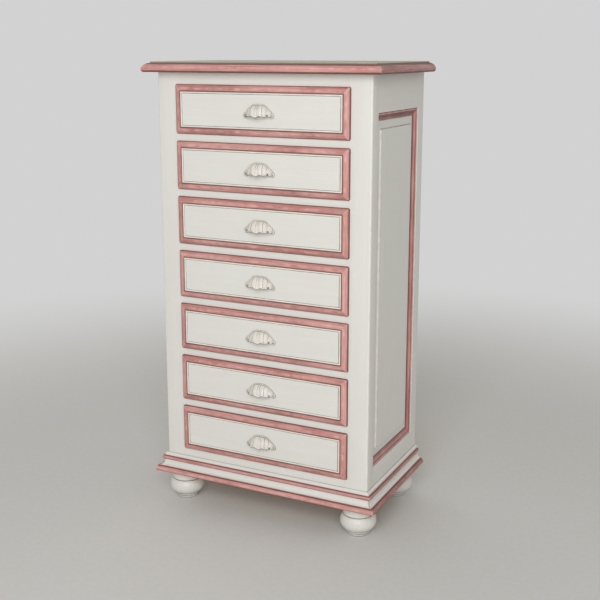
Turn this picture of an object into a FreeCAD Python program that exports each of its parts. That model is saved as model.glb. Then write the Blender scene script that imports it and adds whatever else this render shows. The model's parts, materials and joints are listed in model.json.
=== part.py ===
import FreeCAD, Part
import math
import os

# A semainier: a tall painted chest with seven equal drawers, made by post-and-rail joinery.
# Four corner posts carry front, side and back rails. Each side holds a raised panel behind a planted
# moulding. The drawers have lipped, moulded fronts, dovetailed sides and cast shell cup pulls, and they
# run on wooden runners between guides. A moulded top board closes the carcass, and a base board with
# three planted mouldings stands on four turned bun feet.
#
# Millimetres. +Z is up and the front looks towards -Y. While the pieces are made, y = 0 is the front
# face of the posts and z = 0 is the floor. The last lines move the origin to the middle of the footprint.

V = FreeCAD.Vector

# ---------------------------------------------------------------- driving dimensions

# carcass
CARCASS_WIDTH = 670.0
CARCASS_DEPTH = 392.0
POST_SHOWING = 61.5
POST_DEPTH = 41.5
RAIL_THICKNESS = 22.0
SIDE_TOP_RAIL_SHOWING = 102.0
SIDE_BOTTOM_RAIL_SHOWING = 57.0
BACK_RAIL_HEIGHT = 90.0
TENON_LENGTH = 20.0
TENON_THICKNESS = 8.0
TENON_SHOULDER = 6.0
SIDE_TENON_SHOULDER = 10.0

# drawer fronts, as they show on the face of the chest
DRAWER_COUNT = 7
FRONT_HEIGHT = 141.0
FRONT_GAP = 20.0
MARGIN_BELOW_FRONTS = 24.0
MARGIN_ABOVE_FRONTS = 33.0
LIP_SIDE = 10.0
LIP_TOP = 8.0

# drawer front profile, measured inward from its edge and outward from the face of the posts
FIELD_HEIGHT = 10.0
OVOLO_WIDTH = 20.5
OVOLO_HEIGHT = 11.0
OVOLO_EDGE = 1.5
BEAD_WIDTH = 4.0
BEAD_CROWN = 1.2
BEAD_CHAMFER = 1.0
QUIRK_WIDTH = 0.5
QUIRK_DEPTH = 0.8
GROOVE_WIDTH = 1.4
GROOVE_DEPTH = 1.2

# drawer boxes
FRONT_INNER_THICKNESS = 12.0
BOX_SIDE_CLEARANCE = 1.0
BOX_TOP_CLEARANCE = 2.7
BOX_RUNNING_CLEARANCE = 0.3
BOX_BACK_CLEARANCE = 17.0
SIDE_THICKNESS = 12.0
BACK_THICKNESS = 12.0
BACK_DROP = 6.0
BOTTOM_THICKNESS = 5.0
BOTTOM_RISE = 8.0
BOTTOM_GROOVE_DEPTH = 5.0
BOTTOM_END_CLEARANCE = 0.5
GROOVE_CLEARANCE = 0.1
HOUSING_DEPTH = 4.0
TAIL_COUNT = 3
TAIL_LENGTH = 9.0
TAIL_WIDTH = 27.0
TAIL_TAPER = 1.5

# runners, guides and kickers
RUNNER_BEARING = 18.0
GUIDE_WIDTH = 20.0
GUIDE_HEIGHT = 22.0

# side panels and their mouldings
PANEL_RECESS = 9.0
PANEL_FIELD_RECESS = 2.5
PANEL_TONGUE = 6.0
PANEL_GROOVE_DEPTH = 8.0
PANEL_PLAY = 1.0
PANEL_BEVEL = 32.0
PANEL_MOULDING_WIDTH = 21.5
PANEL_MOULDING_INNER_HEIGHT = 1.2

# back panel
BACK_PANEL_THICKNESS = 8.0
BACK_PANEL_REBATE = 10.0

# top board edge, measured outward from the carcass and up from the underside
TOP_THICKNESS = 30.0
TOP_OVERHANG = 36.0
TOP_UNDERSIDE_OVERHANG = 29.0
TOP_NOSE_HEIGHT = 10.0
TOP_STEP_OVERHANG = 17.0
TOP_STEP_HEIGHT = 25.5
TOP_QUIRK_WIDTH = 1.0
TOP_QUIRK_HEIGHT = 1.5
TOP_FLAT_OVERHANG = 12.5

# base board and the mouldings planted on it, measured outward from the carcass
FOOT_HEIGHT = 92.5
BASE_BOARD_THICKNESS = 16.0
BASE_OVERHANG = 30.0
BASE_NOSE_RISE = 8.0
BASE_UNDERSIDE_OVERHANG = 27.0
BASE_TOP_OVERHANG = 23.0
COVE_HEIGHT = 18.5
COVE_FOOT_OVERHANG = 20.0
COVE_TOP_OVERHANG = 9.0
COVE_FOOT_EDGE = 1.2
FILLET_HEIGHT = 13.0
FILLET_OVERHANG = 14.8
BASE_BEAD_HEIGHT = 9.0
BASE_BEAD_OVERHANG = 8.0
BASE_BEAD_EDGE = 2.7
BASE_BEAD_TOP_OVERHANG = 0.6

# bun feet
FOOT_SIDE_INSET = 42.0
FOOT_FRONT_INSET = 38.0
FOOT_BACK_INSET = 54.0
FOOT_COLLAR_RADIUS = 45.5
FOOT_COLLAR_HEIGHT = 31.0
FOOT_RADIUS = 53.3
FOOT_WIDEST_Z = 41.0
FOOT_UPPER_RING_RADIUS = 43.0
FOOT_UPPER_RING_Z = 22.0
FOOT_LOWER_RING_RADIUS = 35.0
FOOT_LOWER_RING_Z = 11.5
FOOT_RING_STEP = 1.4
FOOT_SOLE_RADIUS = 25.0
FOOT_BALL_TURNINGS = 3

# cup pulls
PULL_HALF_WIDTH = 35.5
PULL_HEIGHT = 36.0
PULL_PROJECTION = 23.0
PULL_WALL = 2.4
PULL_DROP = 17.5
PULL_FLUTES = 9
PULL_RIDGE = 1.5
PULL_TIERS = 3
PULL_CROWN_SHARE = 0.93
PULL_LIP_STAND = 1.8
PULL_LIP_HEIGHT = 3.0
EAR_SPACING = 82.0
EAR_RADIUS = 7.5
EAR_THICKNESS = 2.6
EAR_RISE = 2.5
EAR_FACETS = 12

# ---------------------------------------------------------------- sizes that follow

HALF_WIDTH = CARCASS_WIDTH / 2
FRONT_WIDTH = CARCASS_WIDTH - 2 * POST_SHOWING
OPENING_HALF_WIDTH = FRONT_WIDTH / 2 - LIP_SIDE
BASE_BOARD_TOP = FOOT_HEIGHT + BASE_BOARD_THICKNESS
BASE_TOP = BASE_BOARD_TOP + COVE_HEIGHT + FILLET_HEIGHT + BASE_BEAD_HEIGHT
FRONT_PITCH = FRONT_HEIGHT + FRONT_GAP
LOWEST_FRONT = BASE_TOP + MARGIN_BELOW_FRONTS
CARCASS_TOP = LOWEST_FRONT + DRAWER_COUNT * FRONT_PITCH - FRONT_GAP + MARGIN_ABOVE_FRONTS
OPENING_HEIGHT = FRONT_HEIGHT - 2 * LIP_TOP
DIVIDER_HEIGHT = FRONT_PITCH - OPENING_HEIGHT
BACK_POST_Y = CARCASS_DEPTH - POST_DEPTH
BACK_RAIL_Y = CARCASS_DEPTH - BACK_PANEL_THICKNESS - RAIL_THICKNESS
SIDE_OPENING_LOW = BASE_TOP + SIDE_BOTTOM_RAIL_SHOWING
SIDE_OPENING_HIGH = CARCASS_TOP - SIDE_TOP_RAIL_SHOWING
BOX_LENGTH = BACK_RAIL_Y - BOX_BACK_CLEARANCE
BOX_HALF_WIDTH = OPENING_HALF_WIDTH - BOX_SIDE_CLEARANCE
BOX_HEIGHT = OPENING_HEIGHT - BOX_TOP_CLEARANCE - BOX_RUNNING_CLEARANCE
RING_WIDTH = OVOLO_WIDTH + BEAD_WIDTH + GROOVE_WIDTH
FAR = CARCASS_WIDTH + CARCASS_DEPTH + CARCASS_TOP
QUARTER = math.sin(math.pi / 4)


def front_bottom(level):
    """Lowest edge of the drawer front at a level, where level 0 is the lowest drawer."""
    return LOWEST_FRONT + level * FRONT_PITCH


def opening_bottom(level):
    """Top of the rail and runners that the drawer at a level slides on."""
    return front_bottom(level) + LIP_TOP


# ---------------------------------------------------------------- general shapes

def block(x0, x1, y0, y1, z0, z1):
    """Box between two values on each axis."""
    return Part.makeBox(x1 - x0, y1 - y0, z1 - z0, V(x0, y0, z0))


def mirrored(shape):
    """The same shape on the other side of the middle plane."""
    return shape.mirror(V(0, 0, 0), V(1, 0, 0))


def both_sides(shape):
    """A right-hand solid and its left-hand twin."""
    return [shape, mirrored(shape)]


def cut_all(shape, tools):
    """Takes each tool out of a shape, in one operation."""
    return shape.cut(Part.makeCompound(tools)) if tools else shape


def prism(path, place, sweep):
    """Extrudes the face inside a closed path by a vector.

    A path is a list of points (u, v). An entry (through, end) makes an arc, and place turns
    (u, v) into a point in space.
    """
    edges = []
    here = path[0]
    for step in path[1:] + path[:1]:
        if isinstance(step[0], tuple):
            through, end = step
            edges.append(Part.Arc(place(*here), place(*through), place(*end)).toShape())
        else:
            end = step
            edges.append(Part.makeLine(place(*here), place(*end)))
        here = end
    return Part.Face(Part.Wire(edges)).extrude(sweep)


def quarter_up(start, end):
    """Path entry for a quarter round that leaves the start along v and meets the end along u."""
    (u0, v0), (u1, v1) = start, end
    return (u1 - (u1 - u0) * QUARTER, v0 + (v1 - v0) * QUARTER), end


def quarter_across(start, end):
    """Path entry for a quarter round that leaves the start along u and meets the end along v."""
    (u0, v0), (u1, v1) = start, end
    return (u0 + (u1 - u0) * QUARTER, v1 - (v1 - v0) * QUARTER), end


def moulded_board(edge):
    """Board as deep as the carcass whose front and side edges follow one profile, mitred at the corners.

    The edge is a path of (overhang, z) from the bottom up, with an arc at its top. The back edge is square.
    """
    bottom, top = edge[0][1], edge[-1][1][1]
    side_path = [(-FAR, bottom)] + edge + [(-FAR, top)]
    right = prism(side_path, lambda u, z: V(HALF_WIDTH + u, -FAR, z), V(0, 2 * FAR, 0))
    front_path = [(-CARCASS_DEPTH, bottom)] + edge + [(-CARCASS_DEPTH, top)]
    front = prism(front_path, lambda u, z: V(-FAR, -u, z), V(2 * FAR, 0, 0))
    return right.common(mirrored(right)).common(front)


def planted_moulding(edge):
    """Three strips round the front and sides of the carcass, mitred at the front corners."""
    carcass = block(-HALF_WIDTH, HALF_WIDTH, 0, 2 * CARCASS_DEPTH, 0, CARCASS_TOP)
    ring = moulded_board(edge).cut(carcass)
    corner = [(-HALF_WIDTH, 0), (HALF_WIDTH, 0), (HALF_WIDTH + FAR, -FAR), (-HALF_WIDTH - FAR, -FAR)]
    wedge = prism(corner, lambda x, y: V(x, y, 0), V(0, 0, FAR))
    return ring.common(wedge).Solids + ring.cut(wedge).Solids


def flat_faced(rings):
    """Solid with flat faces between matching closed rings of points, and a flat face at each end."""
    def face(points):
        return Part.Face(Part.makePolygon(points + points[:1]))

    faces = [face(rings[0]), face(rings[-1])]
    for ring, following in zip(rings, rings[1:]):
        for index in range(len(ring)):
            after = (index + 1) % len(ring)
            faces.append(face([ring[index], ring[after], following[after], following[index]]))
    shell = Part.makeShell(faces)
    shell.sewShape()
    return Part.makeSolid(shell)


def mitred_strip(section, length):
    """Strip along +X that starts at the origin, cut at 45 degrees at both ends.

    The section lists (inward, height) points. Inward runs along +Y and height along +Z.
    """
    strip = prism(section, lambda inward, height: V(0, inward, height), V(length, 0, 0))
    corners = [(0, 0), (length, 0), (length / 2, length / 2)]
    return strip.common(prism(corners, lambda x, y: V(x, y, 0), V(0, 0, FAR)))


def mitred_frame(section, width, height):
    """Four strips round a width by height rectangle whose corner is at the origin of the XY plane."""
    turns = [(0, V(0, 0, 0), width), (90, V(width, 0, 0), height),
             (180, V(width, height, 0), width), (270, V(0, height, 0), height)]
    strips = []
    for angle, corner, length in turns:
        strip = mitred_strip(section, length)
        strip.rotate(V(0, 0, 0), V(0, 0, 1), angle)
        strip.translate(corner)
        strips.append(strip)
    return strips


# ---------------------------------------------------------------- carcass


def rail_along_x(y0, z0, z1):
    """Rail between the left and right posts, with its two tenons."""
    tenon_y = y0 + (RAIL_THICKNESS - TENON_THICKNESS) / 2
    body = block(-OPENING_HALF_WIDTH, OPENING_HALF_WIDTH, y0, y0 + RAIL_THICKNESS, z0, z1)
    tenon = block(OPENING_HALF_WIDTH, OPENING_HALF_WIDTH + TENON_LENGTH, tenon_y, tenon_y + TENON_THICKNESS,
                  z0 + TENON_SHOULDER, z1 - TENON_SHOULDER)
    return body, both_sides(tenon)


def rail_along_y(z0, z1):
    """Right-hand side rail between a front and a back post, with two tenons that stay clear of the groove."""
    tenon_x = HALF_WIDTH - (RAIL_THICKNESS + TENON_THICKNESS) / 2
    body = block(HALF_WIDTH - RAIL_THICKNESS, HALF_WIDTH, POST_DEPTH, BACK_POST_Y, z0, z1)
    tenons = [block(tenon_x, tenon_x + TENON_THICKNESS, y, y + TENON_LENGTH,
                    z0 + SIDE_TENON_SHOULDER, z1 - SIDE_TENON_SHOULDER)
              for y in (POST_DEPTH - TENON_LENGTH, BACK_POST_Y)]
    return body, tenons


def front_rail_spans():
    """Bottom and top of each front rail, from the lowest up."""
    spans = [(BASE_BOARD_TOP, opening_bottom(0))]
    for level in range(1, DRAWER_COUNT):
        spans.append((opening_bottom(level) - DIVIDER_HEIGHT, opening_bottom(level)))
    spans.append((opening_bottom(DRAWER_COUNT - 1) + OPENING_HEIGHT, CARCASS_TOP))
    return spans


def make_rails(y0, spans):
    """Rails between the left and right posts. Returns the rails and all their tenons."""
    rails, tenons = [], []
    for low, high in spans:
        body, ends = rail_along_x(y0, low, high)
        rails.append(body.fuse(ends))
        tenons += ends
    return rails, tenons


def panel_groove():
    """Groove that the right-hand side panel's tongue sits in, all round the side opening."""
    outer = HALF_WIDTH - PANEL_RECESS + GROOVE_CLEARANCE
    inner = HALF_WIDTH - PANEL_RECESS - PANEL_TONGUE - GROOVE_CLEARANCE
    return block(inner, outer, POST_DEPTH - PANEL_GROOVE_DEPTH, BACK_POST_Y + PANEL_GROOVE_DEPTH,
                 SIDE_OPENING_LOW - PANEL_GROOVE_DEPTH, SIDE_OPENING_HIGH + PANEL_GROOVE_DEPTH)


def make_side_rails():
    """The two side rails of the right-hand side, grooved for the panel, and their tenons."""
    rails, tenons = [], []
    for low, high in ((BASE_BOARD_TOP, SIDE_OPENING_LOW), (SIDE_OPENING_HIGH, CARCASS_TOP)):
        body, ends = rail_along_y(low, high)
        rails.append(body.cut(panel_groove()).fuse(ends))
        tenons += ends
    return rails, tenons


def make_post(y0, mortises):
    """Right-hand corner post with its mortises and panel groove."""
    post = block(OPENING_HALF_WIDTH, HALF_WIDTH, y0, y0 + POST_DEPTH, BASE_BOARD_TOP, CARCASS_TOP)
    return cut_all(post, mortises + [panel_groove()])


def back_rebate():
    """Rebate round the back of the carcass that holds the back panel."""
    reach = OPENING_HALF_WIDTH + BACK_PANEL_REBATE
    return block(-reach, reach, CARCASS_DEPTH - BACK_PANEL_THICKNESS, CARCASS_DEPTH,
                 BASE_BOARD_TOP, CARCASS_TOP)


def make_side_panel():
    """Right-hand raised panel: a thin tongue all round, a wide bevel and a raised field."""
    edge = PANEL_GROOVE_DEPTH - PANEL_PLAY
    back_x = HALF_WIDTH - PANEL_RECESS - PANEL_TONGUE
    board = block(back_x, HALF_WIDTH - PANEL_RECESS, POST_DEPTH - edge, BACK_POST_Y + edge,
                  SIDE_OPENING_LOW - edge, SIDE_OPENING_HIGH + edge)

    def rectangle(inset, x):
        y0, y1 = POST_DEPTH + inset, BACK_POST_Y - inset
        z0, z1 = SIDE_OPENING_LOW + inset, SIDE_OPENING_HIGH - inset
        return Part.makePolygon([V(x, y0, z0), V(x, y1, z0), V(x, y1, z1), V(x, y0, z1), V(x, y0, z0)])

    foot = rectangle(PANEL_MOULDING_WIDTH, HALF_WIDTH - PANEL_RECESS)
    field = rectangle(PANEL_MOULDING_WIDTH + PANEL_BEVEL, HALF_WIDTH - PANEL_FIELD_RECESS)
    return board.fuse(Part.makeLoft([foot, field], True, True)).removeSplitter()


def make_panel_moulding():
    """Four strips planted on the right-hand panel, in the corner between it and the frame."""
    outer, inner = (0, PANEL_RECESS), (PANEL_MOULDING_WIDTH, PANEL_MOULDING_INNER_HEIGHT)
    section = [(0, 0), outer, quarter_across(outer, inner), (PANEL_MOULDING_WIDTH, 0)]
    strips = mitred_frame(section, BACK_POST_Y - POST_DEPTH, SIDE_OPENING_HIGH - SIDE_OPENING_LOW)
    for strip in strips:
        strip.rotate(V(0, 0, 0), V(1, 0, 0), 90)
        strip.rotate(V(0, 0, 0), V(0, 0, 1), 90)
        strip.translate(V(HALF_WIDTH - PANEL_RECESS, POST_DEPTH, SIDE_OPENING_LOW))
    return strips


def make_runner(level):
    """Right-hand runner, notched round the front post."""
    top = opening_bottom(level)
    strip = block(OPENING_HALF_WIDTH - RUNNER_BEARING, OPENING_HALF_WIDTH + GUIDE_WIDTH,
                  RAIL_THICKNESS, BACK_POST_Y, top - DIVIDER_HEIGHT, top)
    return strip.cut(block(OPENING_HALF_WIDTH, HALF_WIDTH, 0, POST_DEPTH, 0, CARCASS_TOP))


def make_guide(level):
    """Right-hand guide on the runner, in line with the post's inner face."""
    low = opening_bottom(level)
    return block(OPENING_HALF_WIDTH, OPENING_HALF_WIDTH + GUIDE_WIDTH, POST_DEPTH, BACK_POST_Y,
                 low, low + GUIDE_HEIGHT)


def make_kicker():
    """Right-hand kicker that keeps the top drawer level, notched like a runner."""
    low = opening_bottom(DRAWER_COUNT - 1) + OPENING_HEIGHT
    strip = block(OPENING_HALF_WIDTH - RUNNER_BEARING, OPENING_HALF_WIDTH + GUIDE_WIDTH,
                  RAIL_THICKNESS, BACK_POST_Y, low, CARCASS_TOP)
    return strip.cut(block(OPENING_HALF_WIDTH, HALF_WIDTH, 0, POST_DEPTH, 0, CARCASS_TOP + 1))


def make_carcass():
    """All the carcass pieces above the base board, by node name."""
    front_rails, front_tenons = make_rails(0, front_rail_spans())
    back_spans = [(BASE_BOARD_TOP, BASE_BOARD_TOP + BACK_RAIL_HEIGHT),
                  (CARCASS_TOP - BACK_RAIL_HEIGHT, CARCASS_TOP)]
    back_rails, back_tenons = make_rails(BACK_RAIL_Y, back_spans)
    side_rails, side_tenons = make_side_rails()
    front_post = make_post(0, front_tenons + side_tenons)
    back_post = make_post(BACK_POST_Y, back_tenons + side_tenons + [back_rebate()])
    strips = make_panel_moulding()
    runners, guides = [], []
    for level in range(DRAWER_COUNT):
        runners += both_sides(make_runner(level))
        guides += both_sides(make_guide(level))
    return {
        "front_posts": both_sides(front_post),
        "back_posts": both_sides(back_post),
        "front_rails": front_rails,
        "back_rails": back_rails,
        "side_rails": side_rails + [mirrored(rail) for rail in side_rails],
        "side_panels": both_sides(make_side_panel()),
        "panel_mouldings": strips + [mirrored(strip) for strip in strips],
        "drawer_runners": runners,
        "drawer_guides": guides,
        "top_kickers": both_sides(make_kicker()),
        "back_panel": [back_rebate()],
    }


# ---------------------------------------------------------------- top, base and feet


def make_top_board():
    """Top board: a big round nose, a quirk and a small round up to the flat."""
    under = (TOP_UNDERSIDE_OVERHANG, CARCASS_TOP)
    nose = (TOP_OVERHANG, CARCASS_TOP + TOP_NOSE_HEIGHT)
    step = (TOP_STEP_OVERHANG, CARCASS_TOP + TOP_STEP_HEIGHT)
    quirk = (TOP_STEP_OVERHANG - TOP_QUIRK_WIDTH, CARCASS_TOP + TOP_STEP_HEIGHT)
    shoulder = (TOP_STEP_OVERHANG - TOP_QUIRK_WIDTH, CARCASS_TOP + TOP_STEP_HEIGHT + TOP_QUIRK_HEIGHT)
    flat = (TOP_FLAT_OVERHANG, CARCASS_TOP + TOP_THICKNESS)
    return moulded_board([under, quarter_across(under, nose), quarter_up(nose, step), quirk, shoulder,
                          quarter_up(shoulder, flat)])


def foot_centres():
    """Centre of each bun foot on the floor plane."""
    x = HALF_WIDTH - FOOT_SIDE_INSET
    rows = (FOOT_FRONT_INSET, CARCASS_DEPTH - FOOT_BACK_INSET)
    return [V(side * x, y, 0) for side in (-1, 1) for y in rows]


def make_base_board():
    """Base board with a round nose, which the feet are bolted to."""
    under = (BASE_UNDERSIDE_OVERHANG, FOOT_HEIGHT)
    nose = (BASE_OVERHANG, FOOT_HEIGHT + BASE_NOSE_RISE)
    return moulded_board([under, (nose, (BASE_TOP_OVERHANG, BASE_BOARD_TOP))])


def make_base_mouldings():
    """The cove, the round fillet and the top bead of the base, by node name."""
    cove_top = BASE_BOARD_TOP + COVE_HEIGHT
    fillet_top = cove_top + FILLET_HEIGHT
    cove_foot = (COVE_FOOT_OVERHANG, BASE_BOARD_TOP)
    cove_edge = (COVE_FOOT_OVERHANG, BASE_BOARD_TOP + COVE_FOOT_EDGE)
    cove = [cove_foot, cove_edge, quarter_across(cove_edge, (COVE_TOP_OVERHANG, cove_top))]
    fillet_nose = (FILLET_OVERHANG, cove_top + FILLET_HEIGHT / 2)
    fillet = [(COVE_TOP_OVERHANG, cove_top), (fillet_nose, (COVE_TOP_OVERHANG, fillet_top))]
    bead_foot = (BASE_BEAD_OVERHANG, fillet_top)
    bead_edge = (BASE_BEAD_OVERHANG, fillet_top + BASE_BEAD_EDGE)
    bead = [bead_foot, bead_edge, quarter_up(bead_edge, (BASE_BEAD_TOP_OVERHANG, BASE_TOP))]
    return {
        "base_cove": planted_moulding(cove),
        "base_fillet": planted_moulding(fillet),
        "base_bead": planted_moulding(bead),
    }


def make_foot(centre):
    """Turned bun foot: a collar, a squat ball, two incised rings and a small sole."""
    crease = V(FOOT_COLLAR_RADIUS, 0, FOOT_HEIGHT - FOOT_COLLAR_HEIGHT)
    widest = V(FOOT_RADIUS, 0, FOOT_WIDEST_Z)
    ring = V(FOOT_UPPER_RING_RADIUS, 0, FOOT_UPPER_RING_Z)
    ball = Part.Arc(crease, widest, ring).toShape().discretize(FOOT_BALL_TURNINGS + 1)
    profile = [V(0, 0, FOOT_HEIGHT), V(FOOT_COLLAR_RADIUS, 0, FOOT_HEIGHT)] + ball + [
        ring - V(FOOT_RING_STEP, 0, 0),
        V(FOOT_LOWER_RING_RADIUS, 0, FOOT_LOWER_RING_Z),
        V(FOOT_LOWER_RING_RADIUS - FOOT_RING_STEP, 0, FOOT_LOWER_RING_Z),
        V(FOOT_SOLE_RADIUS, 0, 0),
        V(0, 0, 0),
    ]
    foot = Part.Face(Part.makePolygon(profile + profile[:1])).revolve(V(0, 0, 0), V(0, 0, 1), 360)
    foot.translate(centre)
    return foot


# ---------------------------------------------------------------- drawers


def tail_blocks():
    """Dovetail tails of the right-hand side of a drawer box standing on z = 0."""
    pitch = BOX_HEIGHT / TAIL_COUNT
    tip_y, root_y = FRONT_INNER_THICKNESS - TAIL_LENGTH, FRONT_INNER_THICKNESS
    tip, root = TAIL_WIDTH / 2, TAIL_WIDTH / 2 - TAIL_TAPER
    tails = []
    for index in range(TAIL_COUNT):
        middle = pitch * (index + 0.5)
        outline = [(tip_y, middle - tip), (tip_y, middle + tip),
                   (root_y, middle + root), (root_y, middle - root)]
        tails.append(prism(outline, lambda y, z: V(BOX_HALF_WIDTH - SIDE_THICKNESS, y, z),
                           V(SIDE_THICKNESS, 0, 0)))
    return tails


def bottom_groove(clearance):
    """Room that the drawer bottom takes in the sides and front, or the bottom itself at clearance 0."""
    play = BOTTOM_END_CLEARANCE if clearance == 0 else 0.0
    reach = BOTTOM_GROOVE_DEPTH - play
    half = BOX_HALF_WIDTH - SIDE_THICKNESS + reach
    return block(-half, half, FRONT_INNER_THICKNESS - reach, BOX_LENGTH,
                 BOTTOM_RISE - clearance, BOTTOM_RISE + BOTTOM_THICKNESS + clearance)


def make_drawer_side():
    """Right-hand drawer side with its tails, its bottom groove and the housing for the back."""
    board = block(BOX_HALF_WIDTH - SIDE_THICKNESS, BOX_HALF_WIDTH, FRONT_INNER_THICKNESS, BOX_LENGTH,
                  0, BOX_HEIGHT)
    return cut_all(board.fuse(tail_blocks()), [bottom_groove(GROOVE_CLEARANCE), make_drawer_back()])


def make_drawer_back():
    """Drawer back, housed in the sides and standing on the bottom."""
    half = BOX_HALF_WIDTH - SIDE_THICKNESS + HOUSING_DEPTH
    low = BOTTOM_RISE + BOTTOM_THICKNESS + GROOVE_CLEARANCE
    return block(-half, half, BOX_LENGTH - 2 * BACK_THICKNESS, BOX_LENGTH - BACK_THICKNESS,
                 low, BOX_HEIGHT - BACK_DROP)


def front_section():
    """Edge profile of a drawer front, as a path of (inward, height): ovolo, quirk, bead and incised line."""
    edge, crown = (0, OVOLO_EDGE), (OVOLO_WIDTH - QUIRK_WIDTH, OVOLO_HEIGHT)
    bead_start, bead_end = OVOLO_WIDTH, OVOLO_WIDTH + BEAD_WIDTH
    bead_foot = OVOLO_HEIGHT - QUIRK_DEPTH
    return [
        (0, 0),
        edge,
        quarter_up(edge, crown),
        (bead_start, bead_foot),
        (bead_start + BEAD_CHAMFER, bead_foot + BEAD_CROWN),
        (bead_end - BEAD_CHAMFER, bead_foot + BEAD_CROWN),
        (bead_end, bead_foot),
        (bead_end + GROOVE_WIDTH / 2, FIELD_HEIGHT - GROOVE_DEPTH),
        (RING_WIDTH, FIELD_HEIGHT),
        (RING_WIDTH, 0),
    ]


def ear_offsets():
    """Places of the two ears of a pull beside its middle."""
    return [V(side * EAR_SPACING / 2, 0, EAR_RISE) for side in (-1, 1)]


def pull_height_in_box():
    """Height of the pull's lip above the foot of the drawer box."""
    front_middle = front_bottom(0) + FRONT_HEIGHT / 2
    return front_middle - PULL_DROP - opening_bottom(0) - BOX_RUNNING_CLEARANCE


def make_drawer_front():
    """Lipped drawer front: moulded face, rebated back, dovetail sockets and bottom groove."""
    strips = mitred_frame(front_section(), FRONT_WIDTH, FRONT_HEIGHT)
    core = block(RING_WIDTH, FRONT_WIDTH - RING_WIDTH, RING_WIDTH, FRONT_HEIGHT - RING_WIDTH, 0, FIELD_HEIGHT)
    face = core.fuse(strips)
    face.rotate(V(0, 0, 0), V(1, 0, 0), 90)
    face.translate(V(-FRONT_WIDTH / 2, 0, -LIP_TOP - BOX_RUNNING_CLEARANCE))
    inner = block(-BOX_HALF_WIDTH, BOX_HALF_WIDTH, 0, FRONT_INNER_THICKNESS, 0, BOX_HEIGHT)
    sockets = []
    for tail in tail_blocks():
        sockets += both_sides(tail)
    return cut_all(face.fuse(inner), sockets + [bottom_groove(GROOVE_CLEARANCE)]).removeSplitter()


def dome(inset, steps, ridge):
    """Solid half dome that stands on the plane y = 0, with one flat face for each step round it.

    The outline is a half oval. Every second point of it stands out by the ridge, and the same outline
    shrinks along a quarter circle towards the crown, which makes flutes that run to the crown.
    """
    half_width, height = PULL_HALF_WIDTH - inset, PULL_HEIGHT - inset
    rings = []
    for tier in range(PULL_TIERS + 1):
        lean = math.pi / 2 * PULL_CROWN_SHARE * tier / PULL_TIERS
        depth, shrink = (PULL_PROJECTION - inset) * math.sin(lean), math.cos(lean)
        ring = []
        for index in range(steps + 1):
            turn = math.pi * index / steps
            stand = ridge * (index % 2)
            ring.append(V((half_width + stand) * math.cos(turn) * shrink, -depth,
                          (height + stand) * math.sin(turn) * shrink))
        rings.append(ring)
    return flat_faced(rings)


def lip_band():
    """Band round the mouth of the pull that stands out from the dome."""
    half_width, projection = PULL_HALF_WIDTH + PULL_LIP_STAND, PULL_PROJECTION + PULL_LIP_STAND
    turns = [math.pi * index / PULL_FLUTES for index in range(PULL_FLUTES + 1)]
    outline = [(half_width * math.cos(turn), -projection * math.sin(turn)) for turn in turns]
    return prism(outline, lambda x, y: V(x, y, 0), V(0, 0, PULL_LIP_HEIGHT))


def make_ear(offset):
    """Round ear that a screw holds the pull by."""
    turns = [2 * math.pi * index / EAR_FACETS for index in range(EAR_FACETS)]
    outline = [(EAR_RADIUS * math.cos(turn), EAR_RADIUS * math.sin(turn)) for turn in turns]
    return prism(outline, lambda x, z: offset + V(x, 0, z), V(0, -EAR_THICKNESS, 0))


def make_pull():
    """Cast cup pull: a fluted half dome with a standing lip, open below, and an ear on each side."""
    ears = [make_ear(offset) for offset in ear_offsets()]
    shell = dome(0, 2 * PULL_FLUTES, PULL_RIDGE).fuse([lip_band()] + ears)
    hollow = dome(PULL_WALL, PULL_FLUTES, 0)
    below = hollow.mirror(V(0, 0, 0), V(0, 0, 1))
    return cut_all(shell, [hollow, below]).removeSplitter()


def make_drawer_pieces():
    """Pieces of one drawer, by the end of their node name. The box stands on z = 0."""
    side = make_drawer_side()
    seat = V(0, -FIELD_HEIGHT, pull_height_in_box())
    return {
        "front": [make_drawer_front()],
        "sides": both_sides(side),
        "back": [make_drawer_back()],
        "bottom": [bottom_groove(0)],
        "pull": [make_pull().translated(seat)],
    }


# ---------------------------------------------------------------- assembly


def build_nodes():
    """Every node of the chest, as lists of solids by node name."""
    nodes = {"top_board": [make_top_board()]}
    nodes.update(make_carcass())
    nodes["base_board"] = [make_base_board()]
    nodes.update(make_base_mouldings())
    nodes["bun_feet"] = [make_foot(centre) for centre in foot_centres()]
    pieces = make_drawer_pieces()
    for level in range(DRAWER_COUNT):
        number = DRAWER_COUNT - level
        lift = V(0, 0, opening_bottom(level) + BOX_RUNNING_CLEARANCE)
        for ending, solids in pieces.items():
            copies = [solid.translated(lift) for solid in solids]
            nodes["drawer_%d_%s" % (number, ending)] = copies
    return nodes


def main():
    """Writes one STEP file for each node, with the origin at the middle of the footprint."""
    os.makedirs("parts", exist_ok=True)
    to_origin = V(0, (TOP_OVERHANG - CARCASS_DEPTH) / 2, 0)
    for name, solids in build_nodes().items():
        placed = [solid.translated(to_origin) for solid in solids]
        shape = placed[0] if len(placed) == 1 else Part.makeCompound(placed)
        shape.exportStep(os.path.join("parts", name + ".step"))


main()
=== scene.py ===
import json
import logging
import math
from collections.abc import Callable, Sequence
from dataclasses import dataclass
from enum import Enum
from functools import cache

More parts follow.
